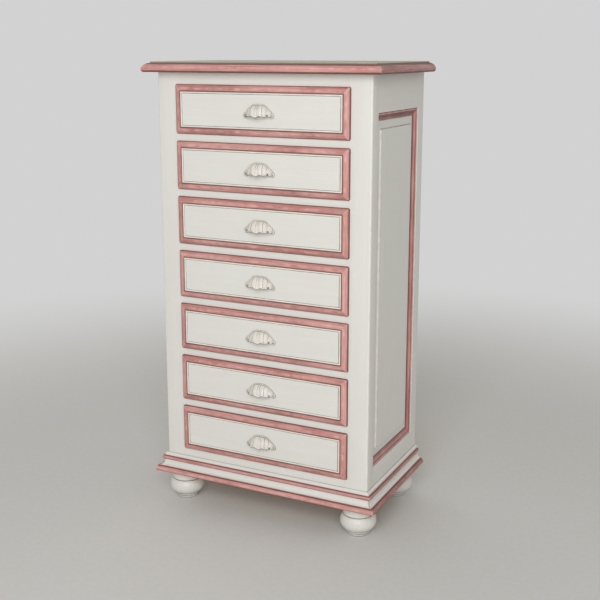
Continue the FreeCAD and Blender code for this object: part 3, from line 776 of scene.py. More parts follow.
class Shell:
    """A mesh in the making, with wax and painted shade, and wear and painted highlights, at its points and
    strip coordinates on its faces.
    """

    def __init__(self, shift: float) -> None:
        """Starts empty. The shift moves the pattern, so that no two pieces share one.

        Args:
            shift: How far the pattern is moved.
        """
        self.mesh = bmesh.new()
        self.uv = self.mesh.loops.layers.uv.new(UV_NAME)
        self.patina_and_shade = self.mesh.verts.layers.float.new(PATINA_AND_SHADE)
        self.worn_and_highlight = self.mesh.verts.layers.float.new(WEAR_AND_HIGHLIGHT)
        self.shift = shift

    def point(self, place: Vector, patina_and_shade: float = 0.0, wear_and_highlight: float = 0.0) -> Vertex:
        """Adds a point, given in millimetres.

        Args:
            place: Where it is.
            patina_and_shade: Wax and painted shade, from 0 to 1.
            wear_and_highlight: Rubbing and painted highlights, from 0 to 1.

        Returns:
            The point.
        """
        vertex = self.mesh.verts.new(place * MM)
        vertex[self.patina_and_shade] = patina_and_shade
        vertex[self.worn_and_highlight] = wear_and_highlight
        return vertex

    def face(self, points: Sequence[Vertex], uvs: Sequence[Pair], finish: int = 0) -> None:
        """Adds a face with strip coordinates in millimetres.

        Args:
            points: Its corners.
            uvs: The strip coordinates of each corner.
            finish: Its slot's number.
        """
        made = self.mesh.faces.new(points)
        made.material_index = finish
        for loop, (along, across) in zip(made.loops, uvs):
            loop[self.uv].uv = (along * MM + self.shift, across * MM + self.shift)

    def cap(self, points: Sequence[Vertex], axes: tuple[int, int], finish: int = 0) -> None:
        """Closes a ring of points with one flat face, whose pattern follows two axes."""
        self.face(points, [(p.co[axes[0]] / MM, p.co[axes[1]] / MM) for p in points], finish)

    def cap_ends(self, rows: Sequence[Sequence[Vertex]], axes: tuple[int, int]) -> None:
        """Closes the first and the last row of points."""
        for row in (rows[0], rows[-1]):
            self.cap(row, axes)

    def grid(self, rows: Sequence[Sequence[Vertex]], wrap: bool = False) -> None:
        """Faces between rows of points.

        Args:
            rows: Rows with as many points each.
            wrap: Whether each row is a closed loop.
        """
        for row, following in zip(rows, rows[1:]):
            for index in range(len(row) if wrap else len(row) - 1):
                after = (index + 1) % len(row)
                self.cap([row[index], row[after], following[after], following[index]], (0, 2))

    def prism(self, outline: Sequence[Vector], reach: Vector, axes: tuple[int, int], finish: int = 0) -> None:
        """Adds a straight solid between an outline and its copy at a distance.

        Args:
            outline: The outline's points.
            reach: The way from it to its copy.
            axes: The axes that the pattern follows.
            finish: Number of the material.
        """
        near = [self.point(place) for place in outline]
        far = [self.point(place + reach) for place in outline]
        self.cap(near, axes, finish)
        self.cap(far, axes, finish)
        for index in range(len(near)):
            after = (index + 1) % len(near)
            self.cap([near[index], near[after], far[after], far[index]], axes, finish)

    def sweep(self, section: Section, path: ClosedFrame | OpenFrame, place: Placing) -> list[list[Vertex]]:
        """Runs a section along a path.

        Args:
            section: The section, as distance from the path and height.
            path: The path.
            place: Turns two places on the path's plane and a height into a point.

        Returns:
            The rows of points, one for each point of the dense section.
        """
        points = section.dense()
        loops = [path.loop(point[0]) for point in points]
        rows = []
        for point, loop in zip(points, loops):
            wax_and_shade, wear_and_highlight = ([gathered(marks, point, strip) for strip in range(4)]
                         for marks in (section.wax_and_shade_marks, section.wear_and_highlight_marks))
            row = []
            for index, (x, y) in enumerate(loop):
                strip = path.strip(index)
                # Each strip takes its own film, heavier on strips that face away from the light, which paints
                # shade there; a mitre takes its wax line and its rubbing, which also paints a highlight at the
                # corner.
                film, rub_and_highlight = section.strip_wax_and_shade[strip], 0.0
                if path.on_mitre(index):
                    film, rub_and_highlight = section.mitre_wax, section.mitre_wear_and_highlight
                row.append(self.point(place(x, y, point[1]), max(wax_and_shade[strip], film), max(wear_and_highlight[strip], rub_and_highlight)))
            rows.append(row)
        across = [0.0]
        for here, there in zip(points, points[1:] + points[:1]):
            across.append(across[-1] + math.dist(here, there))
        count = len(loops[0])
        for index in range(len(points) if section.closed else len(points) - 1):
            other = (index + 1) % len(points)
            near, far = loops[index], loops[other]
            for step in range(count if path.wraps else count - 1):
                after = (step + 1) % count
                axis = 0 if abs(near[after][0] - near[step][0]) >= abs(near[after][1] - near[step][1]) else 1
                uvs = [(near[step][axis], across[index]), (near[after][axis], across[index]),
                       (far[after][axis], across[index + 1]), (far[step][axis], across[index + 1])]
                self.face([rows[index][step], rows[index][after], rows[other][after], rows[other][step]], uvs)
        return rows

    def solid(self, name: str, *finishes: bpy.types.Material) -> bpy.types.Object:
        """Closes the mesh and makes the piece.

        Args:
            name: The piece's name.
            finishes: Its materials in the order of their numbers.

        Returns:
            The piece, linked to the scene.
        """
        bmesh.ops.remove_doubles(self.mesh, verts=self.mesh.verts, dist=MERGE)
        bmesh.ops.recalc_face_normals(self.mesh, faces=self.mesh.faces)
        mesh = bpy.data.meshes.new(name)
        self.mesh.to_mesh(mesh)
        self.mesh.free()
        for finish in finishes:
            mesh.materials.append(finish)
        smooth(mesh)
        return add_object(name, mesh)


def settle(piece: bpy.types.Object, body: str, slot: str, *nodes: str) -> None:
    """Puts a finished piece on its body.

    Args:
        piece: The piece.
        body: The body that it rides on.
        slot: The record's material slot; not used.
        nodes: The nodes that it stands for.
    """
    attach(piece, body)
    if nodes:
        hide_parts(*nodes)
    LOG.info("%s: %d faces on %s", piece.name, len(piece.data.polygons), body)


def grown(name: str, tree: bpy.types.NodeTree, inputs: dict[str, object],
          seed_mesh: bpy.types.Mesh | None = None) -> bpy.types.Object:
    """Runs a geometry tree once and keeps its result as a plain mesh.

    Args:
        name: The piece's name.
        tree: The geometry tree.
        inputs: Values of its inputs by name.
        seed_mesh: The mesh that the tree starts from.

    Returns:
        The piece, with no modifier left on it.
    """
    piece = add_object(name, seed_mesh or bpy.data.meshes.new(name + "_seed"))
    modifier = piece.modifiers.new("grow", "NODES")
    modifier.node_group = tree
    for item in tree.interface.items_tree:
        if item.in_out == "INPUT" and item.name in inputs:
            modifier[item.identifier] = inputs[item.name]
    mesh = bpy.data.meshes.new_from_object(piece.evaluated_get(bpy.context.evaluated_depsgraph_get()))
    piece.modifiers.clear()
    piece.data = mesh
    mesh.name = name
    smooth(mesh)
    return piece


# ------------------------------------------------------------------------------------------ places


def level_place(x: float, y: float, height: float) -> Vector:
    """Place of a point on a level path."""
    return Vector((x, y, height))


def box_round(points: Sequence[Vector]) -> tuple[Vector, Vector]:
    """Lowest and highest corner of the box round some points."""
    axes = list(zip(*points))
    return Vector([min(axis) for axis in axes]), Vector([max(axis) for axis in axes])


def node_box(node: str) -> tuple[Vector, Vector]:
    """Lowest and highest corner of a node, in millimetres."""
    low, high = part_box(node)
    return low / MM, high / MM


def solid_boxes(node: str) -> list[tuple[Vector, Vector]]:
    """Boxes of a node's separate solids, in millimetres, from the lowest and leftmost on.

    Args:
        node: The name of the node.

    Returns:
        A low and a high corner for each solid.
    """
    mesh = bmesh.new()
    mesh.from_mesh(frame["nodes"][node].data)
    bmesh.ops.remove_doubles(mesh, verts=mesh.verts, dist=MERGE)
    left = set(mesh.verts)
    boxes = []
    while left:
        island = [left.pop()]
        for vertex in island:
            for edge in vertex.link_edges:
                other = edge.other_vert(vertex)
                if other in left:
                    left.remove(other)
                    island.append(other)
        low, high = box_round([vertex.co for vertex in island])
        boxes.append((low / MM, high / MM))
    mesh.free()
    return sorted(boxes, key=lambda box: (round(box[0].z), round(box[0].x)))


# ------------------------------------------------------------------------------------------ geometry trees


def end_tree(g: Graph, copies: Socket, given: Sequence[Socket], result: bpy.types.Node) -> bpy.types.NodeTree:
    """Makes the copies of a tree real, gives them their finish and ends the tree.

    Args:
        g: The tree's graph.
        copies: Its instances.
        given: Its inputs.
        result: Its output node.

    Returns:
        The tree.
    """
    real = g.first("GeometryNodeRealizeInstances", {0: copies})
    dressed = g.first("GeometryNodeSetMaterial", {"Geometry": real, "Material": given["Finish"]})
    g.feed(result, {0: dressed})
    return g.tree


def domed_head(g: Graph, radius: Socket, height: Socket, crown: float, sides: int, rings: int) -> Socket:
    """Low round head that narrows to a share of its radius.

    Args:
        g: The graph to add it to.
        radius: Radius at its foot.
        height: Its height.
        crown: Share of the radius at its top.
        sides: Number of sides.
        rings: Number of rings.

    Returns:
        The head's mesh.
    """
    top = g.times(radius, crown)
    return g.first("GeometryNodeMeshCone", {
        "Vertices": sides, "Side Segments": rings, "Radius Top": top, "Radius Bottom": radius,
        "Depth": height})


def turned_tree() -> bpy.types.NodeTree:
    """Tree that spins a profile about the upright axis and sets copies on a rectangle's corners.

    The profile's points hold a radius and a height, in order, and their wax and painted shade go with them.

    Returns:
        The tree.
    """
    g, given, result = new_group("turned_copies", GEOMETRY_TREE, {
        "Profile": GEOMETRY, "Segments": 64, "Spacing X": 1.0, "Spacing Y": 1.0, "Centre": ORIGIN,
        "Finish": MATERIAL}, "Geometry")
    profile, segments = given["Profile"], given["Segments"]
    counts = g.node("GeometryNodeAttributeDomainSize", {"Geometry": profile}, component="MESH").outputs
    rings = counts["Point Count"]
    last_ring = g.math("SUBTRACT", rings, 1.0)
    sheet = g.first("GeometryNodeMeshGrid", {
        "Size X": segments, "Size Y": last_ring, "Vertices X": g.plus(segments, 1.0), "Vertices Y": rings})
    position = g.first("GeometryNodeInputPosition")
    across, up, _ = g.parts(position)
    column = g.math("ROUND", g.plus(across, g.times(segments, 0.5)))
    row = g.math("ROUND", g.plus(up, g.times(last_ring, 0.5)))
    point = g.first("GeometryNodeSampleIndex", {"Geometry": profile, "Index": row, "Value": position},
                    data_type="FLOAT_VECTOR", domain="POINT")
    carried = g.first("GeometryNodeInputNamedAttribute", {"Name": PATINA_AND_SHADE}, data_type="FLOAT")
    wax_and_shade = g.first("GeometryNodeSampleIndex", {"Geometry": profile, "Index": row, "Value": carried},
                  data_type="FLOAT", domain="POINT")
    radius, _, height = g.parts(point)
    turn = g.math("DIVIDE", g.times(column, 2 * math.pi), segments)
    place = g.xyz(g.times(radius, g.math("COSINE", turn)), g.times(radius, g.math("SINE", turn)), height)
    waxed = g.first("GeometryNodeStoreNamedAttribute", {"Geometry": sheet, "Name": PATINA_AND_SHADE, "Value": wax_and_shade},
                    data_type="FLOAT", domain="POINT")
    spun = g.first("GeometryNodeSetPosition", {"Geometry": waxed, "Position": place})
    closed = g.first("GeometryNodeMergeByDistance", {"Geometry": spun, "Distance": 10 * MERGE})
    corners = g.first("GeometryNodeMeshGrid", {
        "Size X": given["Spacing X"], "Size Y": given["Spacing Y"], "Vertices X": 2, "Vertices Y": 2})
    moved = g.first("GeometryNodeSetPosition", {"Geometry": corners, "Offset": given["Centre"]})
    copies = g.first("GeometryNodeInstanceOnPoints", {"Points": moved, "Instance": closed})
    return end_tree(g, copies, given, result)


def screw_tree() -> bpy.types.NodeTree:
    """Tree for a pair of slotted screws that face the front, each turned by its own angle.

    Returns:
        The tree.
    """
    g, given, result = new_group("slotted_screws", GEOMETRY_TREE, {
        "Geometry": GEOMETRY, "Left seat": ORIGIN, "Spacing": 0.08, "Radius": 0.003, "Height": 0.001,
        "Slot": 0.0007, "Seed": 1, "Finish": MATERIAL}, "Geometry")
    radius, height = given["Radius"], given["Height"]
    seats = g.first("GeometryNodeMeshLine", {
        "Count": 2, "Start Location": given["Left seat"], "Offset": g.xyz(given["Spacing"])}, mode="OFFSET")
    head = domed_head(g, radius, height, 0.72, 28, 3)
    cutter = g.first("GeometryNodeMeshCube", {"Size": g.xyz(g.times(radius, 3.0), given["Slot"], height)})
    raised = g.first("GeometryNodeTransform", {"Geometry": cutter, "Translation": g.xyz(z=height)})
    slotted = g.first("GeometryNodeMeshBoolean", {"Mesh 1": head, "Mesh 2": raised}, operation="DIFFERENCE")
    copies = g.first("GeometryNodeInstanceOnPoints", {
        "Points": seats, "Instance": slotted, "Rotation": (math.pi / 2, 0.0, 0.0)})
    angles = {"Min": ORIGIN, "Max": (0.0, 0.0, math.pi), "Seed": given["Seed"]}
    spin = g.first("FunctionNodeRandomValue", angles, data_type="FLOAT_VECTOR")
    turned = g.first("GeometryNodeRotateInstances", {"Instances": copies, "Rotation": spin})
    return end_tree(g, turned, given, result)


def pin_tree() -> bpy.types.NodeTree:
    """Tree for domed pins set at even steps round a rectangle that faces the back.

    Returns:
        The tree.
    """
    g, given, result = new_group("panel_pins", GEOMETRY_TREE, {
        "Geometry": GEOMETRY, "Width": 0.5, "Height": 1.0, "Pins": 24, "Centre": ORIGIN, "Radius": 0.002,
        "Stand": 0.0004, "Finish": MATERIAL}, "Geometry")
    sides = {"Width": given["Width"], "Height": given["Height"]}
    ring = g.first("GeometryNodeCurvePrimitiveQuadrilateral", sides)
    upright = g.first("GeometryNodeTransform", {
        "Geometry": ring, "Rotation": (math.pi / 2, 0.0, 0.0), "Translation": given["Centre"]})
    places = g.first("GeometryNodeResampleCurve", {"Curve": upright, "Count": given["Pins"]})
    head = domed_head(g, given["Radius"], given["Stand"], 0.6, 12, 2)
    copies = g.first("GeometryNodeInstanceOnPoints", {
        "Points": places, "Instance": head, "Rotation": (-math.pi / 2, 0.0, 0.0)})
    return end_tree(g, copies, given, result)


# ------------------------------------------------------------------------------------------ carcass


# Painted shade on the side strips of the two big noses, darkest on the right and none on the front; there is
# no fourth strip.
NOSE_SIDE_SHADE = (0.3, 0.0, 0.46, 0.0)


@dataclass
class Joinery:
    """Posts and rails that show at the front and the sides, with eased arrises."""

    arris: float = 0.5
    joint: float = 0.12
    corner_arris: float = 4.5
    # Rubbing on the rounded arrises, which also paints the light line along them (painted highlight).
    rub_and_highlight: float = 0.7
    steps: int = 4

    def board(self, shell: Shell, low: Vector, high: Vector, along: int, radii: Four) -> None:
        """Adds one board.

        Args:
            shell: The mesh to add to.
            low: Its lowest corner, in millimetres.
            high: Its highest corner.
            along: The axis that its grain follows.
            radii: Radius of its four long edges, from the lowest round to the second axis's highest.
        """
        first, second = (axis for axis in range(3) if axis != along)
        corners = rectangle((low[first], low[second]), (high[first], high[second]))
        loop, rubbed_and_highlit = [], []
        for number, (corner, radius) in enumerate(zip(corners, radii)):
            loop += corner_arc(corner, number, radius, self.steps)[1:-1]
            rub_and_highlight = self.rub_and_highlight if radius > self.joint else 0.0
            rubbed_and_highlit += [0.0] + [rub_and_highlight] * (self.steps - 1) + [0.0]
        rows = []
        for reach in (low[along], high[along]):
            row = []
            for (a, b), wear_and_highlight in zip(loop, rubbed_and_highlit):
                place = Vector(ORIGIN)
                place[along], place[first], place[second] = reach, a, b
                row.append(shell.point(place, wear_and_highlight=wear_and_highlight))
            rows.append(row)
        near, far = rows
        for index, (a, b) in enumerate(loop):
            after = (index + 1) % len(loop)
            wide = first if abs(loop[after][0] - a) > abs(loop[after][1] - b) else second
            shell.cap([near[index], near[after], far[after], far[index]], (along, wide))
        shell.cap_ends(rows, (first, second))

    def build(self) -> None:
        """Builds the front posts, the front rails and the side rails."""
        left_post, right_post = solid_boxes("front_posts")
        back_y = solid_boxes("back_posts")[0][0].y
        joint, outer = self.joint, self.corner_arris
        posts, rails, side_rails = Shell(shift=0.3), Shell(shift=1.9), Shell(shift=3.7)
        self.board(posts, *left_post, 2, (outer, joint, joint, joint))
        self.board(posts, *right_post, 2, (joint, outer, joint, joint))
        for low, high in solid_boxes("front_rails"):
            low.x, high.x = -right_post[0].x, right_post[0].x
            self.board(rails, low, high, 0, (self.arris,) * 4)
        for low, high in solid_boxes("side_rails"):
            low.y, high.y = right_post[1].y, back_y
            self.board(side_rails, low, high, 1, (joint,) * 4)
        for node, shell in (("front_posts", posts), ("front_rails", rails), ("side_rails", side_rails)):
            settle(shell.solid(node + "_eased", CREAM.on(Grain.STRIP)), BODY, "cream_paint", node)


@dataclass
class SidePanels:
    """Raised panels of the two sides and the rose mouldings round them."""

    moulding_width: float = 21.0
    recess: float = 9.0
    set_back: float = 2.2
    quirk: float = 1.0
    outer_bead: float = 5.6
    inner_bead: float = 3.6
    tongue: float = 6.0
    tongue_reach: float = 7.0
    joint: float = 0.3
    sink: float = 2.5
    border_rise: float = 0.7
    border_side: float = 15.0
    border_end: float = 25.0
    field: float = 2.6
    field_bevel: float = 2.4

    def panel_section(self) -> Section:
        """Section of the panel from its back to its raised field, as inset and height above its tongue.

        Returns:
            The section.
        """
        foot = (self.moulding_width, -self.sink)
        crease = (foot[0] + self.border_side, self.border_rise - self.sink)
        arris = (crease[0] + self.field_bevel, self.field)
        shoulder = (arris[0] - 0.5 * self.field_bevel, self.field - 0.9)
        return Section(
            [(-self.tongue_reach, -self.tongue), (-self.tongue_reach, 0.0), (-self.joint, 0.0),
             (-self.joint, foot[1]), foot, crease, shoulder, arris, (arris[0] + 5.0, arris[1])],
            # The crease line is weighted by strip: darkest at the top, lighter at the bottom, faint at the far
            # end and left off the near end so that this stays light (painted shade). The shoulder mark paints
            # a highlight mostly on the near bevel, with its rubbing.
            wax_and_shade_marks=[Mark(crease, 1.5, 0.6, (0.6, 0.1, 1.0, 0.0)), Mark(foot, 1.5, 0.7)],
            wear_and_highlight_marks=[Mark(shoulder, 3.0, 1.0, (0.2, 0.2, 0.2, 1.0))], closed=False, step=0.8)

    def moulding_section(self) -> Section:
        """Section of the moulding: a quirk, a bead, a cove and a small bead beside the panel.

        Returns:
            The section.
        """
        top = self.recess - self.set_back
        start = (self.quirk, top - 1.6)
        end = (start[0] + self.outer_bead, start[1])
        base = (self.moulding_width, -self.sink)
        inner_end = (base[0] - 0.4, 1.6 - self.sink)
        inner = (inner_end[0] - self.inner_bead, inner_end[1])
        hollow = (end[0] + 0.5, end[1] - 0.8)
        # The quirk line is left off the near strip to keep it light, and the wide marks in the cove, heaviest
        # on the top strip that faces down, darken it (painted shade); the film on the top and bottom strips is
        # painted shade too. The two arris marks paint highlights on the beads, with their rubbing.
        outer = (1.0, 1.0, 1.0, 0.0)
        return Section([(0.0, -self.sink), (0.0, start[1]), start]
                       + half_round(start, end, (0.0, 1.6), 10) + [hollow] + cove(hollow, inner, 1.8, 16)
                       + half_round(inner, inner_end, (0.0, 1.5), 8) + [(base[0], inner_end[1] - 0.3), base],
                       wax_and_shade_marks=[Mark(start, 1.9, 1.0, outer), Mark(hollow, 1.5, 0.8),
                                 Mark((hollow[0] + 3.0, hollow[1] - 4.0), 4.0, 0.6, (0.3, 0.1, 1.0, 0.0)),
                                 Mark(inner, 5.0, 0.5), Mark(base, 2.3)],
                       wear_and_highlight_marks=[Mark(((start[0] + end[0]) / 2 + 0.4, top), 2.6, 1.0),
                                Mark(((inner[0] + inner_end[0]) / 2, inner_end[1] + 1.5), 1.4, 0.9)],
                       step=0.7, mitre_wax=0.42, strip_wax_and_shade=(0.26, 0.0, 0.24, 0.0))

    def build(self) -> None:
        """Builds both sides as one piece of each kind."""
        low, high = box_round([corner for box in solid_boxes("panel_mouldings") for corner in box])
        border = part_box("side_rails")[1].x / MM - self.recess
        widens = (self.moulding_width, self.moulding_width + self.border_side)
        path = ClosedFrame((low.y, low.z), (high.y, high.z), steps=1,
                           extra=self.border_end - self.border_side, widens=widens)
        panels, strips = Shell(shift=5.1), Shell(shift=6.3)
        for side in (-1, 1):
            def place(y: float, z: float, height: float, side: int = side) -> Vector:
                """Place of a point of the right or left side."""
                return Vector((side * (border + height), y, z))

            panels.cap_ends(panels.sweep(self.panel_section(), path, place), (2, 1))
            strips.sweep(self.moulding_section(), path, place)
        settle(panels.solid("side_panels_raised", CREAM.on(Grain.STRIP)), BODY, "cream_paint", "side_panels")
        settle(strips.solid("side_mouldings", ROSE.on(Grain.STRIP)), BODY, "pink_paint", "panel_mouldings")


@dataclass
class TopBoard:
    """Top board: a waxed flat with a small round edge, and the big rose nose below it."""

    thickness: float = 30.0
    nose_overhang: float = 36.0
    nose_height: float = 8.8
    nose_fullness: float = 1.72
    underside: float = 29.0
    step_overhang: float = 17.0
    step_height: float = 25.5
    quirk: float = 1.0
    flat_overhang: float = 12.5
    core: float = 8.0
    corner_radius: float = 3.0

    def nose(self) -> Section:
        """Section of the nose, as overhang and height above the underside.

        Returns:
            The section.
        """
        under, tip = (self.underside, 0.0), (self.nose_overhang, self.nose_height)
        step = (self.step_overhang, self.step_height)
        outline = [(self.core, 0.0), under] + quarter_across(under, tip, 8)
        outline += quarter_up(tip, step, 18, self.nose_fullness) + [(self.core, self.step_height)]
        # The first and third marks are wax lines at the nose's top and foot; the others darken the upper and
        # lower parts of the nose so that it reads as a shaded round (painted shade).
        wax_and_shade_marks = [Mark((step[0] + 0.6, step[1]), 3.4), Mark((step[0] + 4.0, step[1] - 1.0), 6.0, 0.3),
                    Mark((under[0] + 1.6, 0.8), 3.0), Mark((under[0] + 5.0, 4.0), 4.5, 0.3),
                    Mark((step[0] + 7.5, step[1] - 1.7), 3.5, 0.9), Mark((under[0] + 3.0, 2.6), 3.2, 0.8)]
        # The arris mark paints a highlight along the nose, with its rubbing, and the mitres take a painted
        # highlight with their wear.
        return Section(outline, wax_and_shade_marks, [Mark((tip[0] - 2.5, tip[1] + 5.0), 3.0, 0.9)], mitre_wear_and_highlight=1.0,
                       strip_wax_and_shade=NOSE_SIDE_SHADE)

    def flat(self) -> Section:
        """Section of the flat and its round edge, from the underside up.

        Returns:
            The section.
        """
        foot = (self.step_overhang - self.quirk, self.step_height)
        shoulder = (foot[0], self.step_height + 1.5)
        top = (self.flat_overhang, self.thickness)
        return Section([(self.core, 0.0), (self.core, self.step_height), foot, shoulder]
                       + quarter_up(shoulder, top, 8) + [(self.flat_overhang - 9.0, self.thickness)],
                       wax_and_shade_marks=[Mark(foot, 2.6)], wear_and_highlight_marks=[Mark((top[0] + 1.0, top[1] - 0.3), 1.6)],
                       closed=False, step=0.8)

    def build(self) -> None:
        """Builds the flat and the nose."""
        low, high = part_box("top_board")
        underside = low.z / MM
        half_width, front = high.x / MM - self.nose_overhang, low.y / MM + self.nose_overhang
        path = OpenFrame(half_width, front, high.y / MM, self.corner_radius)

        def place(x: float, y: float, height: float) -> Vector:
            """Place of a point at a height above the underside."""
            return Vector((x, y, underside + height))

        nose, flat = Shell(shift=7.7), Shell(shift=8.9)
        nose.cap_ends(list(zip(*nose.sweep(self.nose(), path, place))), (0, 2))
        close_board(flat, flat.sweep(self.flat(), path, place))
        settle(flat.solid("top_flat", TOP_GREY_AND_SHADED.on(Grain.STRIP)), BODY, "top_paint", "top_board")
        settle(nose.solid("top_nose", ROSE.on(Grain.STRIP)), BODY, "pink_paint", "top_board")


def close_board(shell: Shell, rows: Sequence[Sequence[Vertex]], underside: int = 0) -> None:
    """Closes a board whose edge was swept round three sides: underside, top and square back.

    Args:
        shell: The mesh to add to.
        rows: The rows of the sweep, from the underside up.
        underside: The slot's number for the underside.
    """
    shell.cap(rows[0], (0, 1), underside)
    shell.cap(rows[-1], (0, 1))
    shell.cap([row[0] for row in rows] + [row[-1] for row in reversed(rows)], (0, 2))


@dataclass
class Base:
    """Base board with its rose nose, and the cove, fillet and bead planted on it."""

    nose_overhang: float = 30.0
    underside: float = 27.0
    board_top_overhang: float = 23.0
    cove_foot: float = 20.0
    cove_top: float = 9.0
    cove_edge: float = 1.2
    fillet_stand: float = 5.8
    bead: float = 8.0
    bead_edge: float = 2.7
    bead_top: float = 0.6
    corner_radius: float = 1.6

    def sections(self) -> dict[str, tuple[Section, Finish, str]]:
        """Section, paint and slot of each moulding by its node, with heights above the floor.

        Returns:
            The three by node.
        """
        (cove_low, cove_high), (fillet_low, fillet_high), (bead_low, bead_high) = (
            [corner.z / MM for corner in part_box(node)] for node in ("base_cove", "base_fillet", "base_bead"))
        foot, top = (self.cove_foot, cove_low + self.cove_edge), (self.cove_top, cove_high)
        edge = (self.bead, bead_low + self.bead_edge)
        hollow = quarter_across(foot, top, 16)
        cove = Section([(0.0, cove_low), (self.cove_foot, cove_low), foot] + hollow + [(0.0, cove_high)],
                       [Mark(top, 1.1, 0.7), Mark((self.cove_foot, cove_low), 1.2, 0.7)], mitre_wax=0.55)
        start, end = (self.cove_top, fillet_low), (self.cove_top, fillet_high)
        front = (self.cove_top + self.fillet_stand, (fillet_low + fillet_high) / 2)
        arc = half_round(start, end, (self.fillet_stand, 0.0), 16)
        # On the fillet the film on the left and right strips, darkest on the right, is painted shade, and the
        # arris mark and the mitres paint highlights, with their rubbing.
        wax_and_shade_marks = [Mark((start[0] + 3.2, start[1] + 1.1), 2.7), Mark((end[0] + 2.0, end[1] - 0.8), 2.5)]
        fillet = Section([(0.0, fillet_low), start] + arc + [(0.0, fillet_high)], wax_and_shade_marks,
                         [Mark(front, 2.2, 0.8)], step=0.8, mitre_wear_and_highlight=0.5, strip_wax_and_shade=(0.2, 0.0, 0.38, 0.0))
        foot, crown = (self.bead, bead_low), (self.bead_top, bead_high)
        bead = Section([(0.0, bead_low), foot, edge] + quarter_up(edge, crown) + [(0.0, bead_high)],
                       [Mark(crown, 1.6, 0.9), Mark(foot, 0.9, 0.6)], mitre_wax=0.45)
        return {"base_cove": (cove, CREAM, "cream_paint"), "base_fillet": (fillet, ROSE, "pink_paint"),
                "base_bead": (bead, CREAM, "cream_paint")}

    def board(self) -> Section:
        """Section of the base board's edge.

        Returns:
            The section.
        """
        low, high = (corner.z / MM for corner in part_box("base_board"))
        start, end = (self.underside, low), (self.board_top_overhang, high)
        middle = ((start[0] + end[0]) / 2, (low + high) / 2)
        nose = half_round(start, end, (self.nose_overhang - middle[0] + 0.1, 0.0), 18)
        # The nose's top and foot lines are wax; the arris mark paints a highlight along its middle and the
        # mitres a highlight at the corners, with their rubbing, and its sides take painted shade.
        return Section([(start[0] - 12.0, low), start] + nose + [(end[0] - 8.0, high)],
                       [Mark((end[0] + 0.8, high - 0.3), 3.0), Mark((start[0] + 0.8, low + 0.7), 2.8)],
                       [Mark((self.nose_overhang, middle[1]), 2.8, 0.85)], closed=False, mitre_wear_and_highlight=1.0,
                       strip_wax_and_shade=NOSE_SIDE_SHADE)

    def build(self) -> None:
        """Builds the base board and its mouldings."""
        low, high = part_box("base_board")
        path = OpenFrame(high.x / MM - self.nose_overhang, low.y / MM + self.nose_overhang, high.y / MM,
                         self.corner_radius)
        board = Shell(shift=10.3)
        close_board(board, board.sweep(self.board(), path, level_place), 1)
        finishes = (ROSE.on(Grain.STRIP), CARCASS_WOOD.on(Grain.X))
        settle(board.solid("base_nose", *finishes), BODY, "pink_paint", "base_board")
        for index, (node, (section, paint, slot)) in enumerate(self.sections().items()):
            shell = Shell(shift=11.9 + 1.3 * index)
            shell.cap_ends(list(zip(*shell.sweep(section, path, level_place))), (0, 2))
            settle(shell.solid(node + "_run", paint.on(Grain.STRIP)), BODY, slot, node)


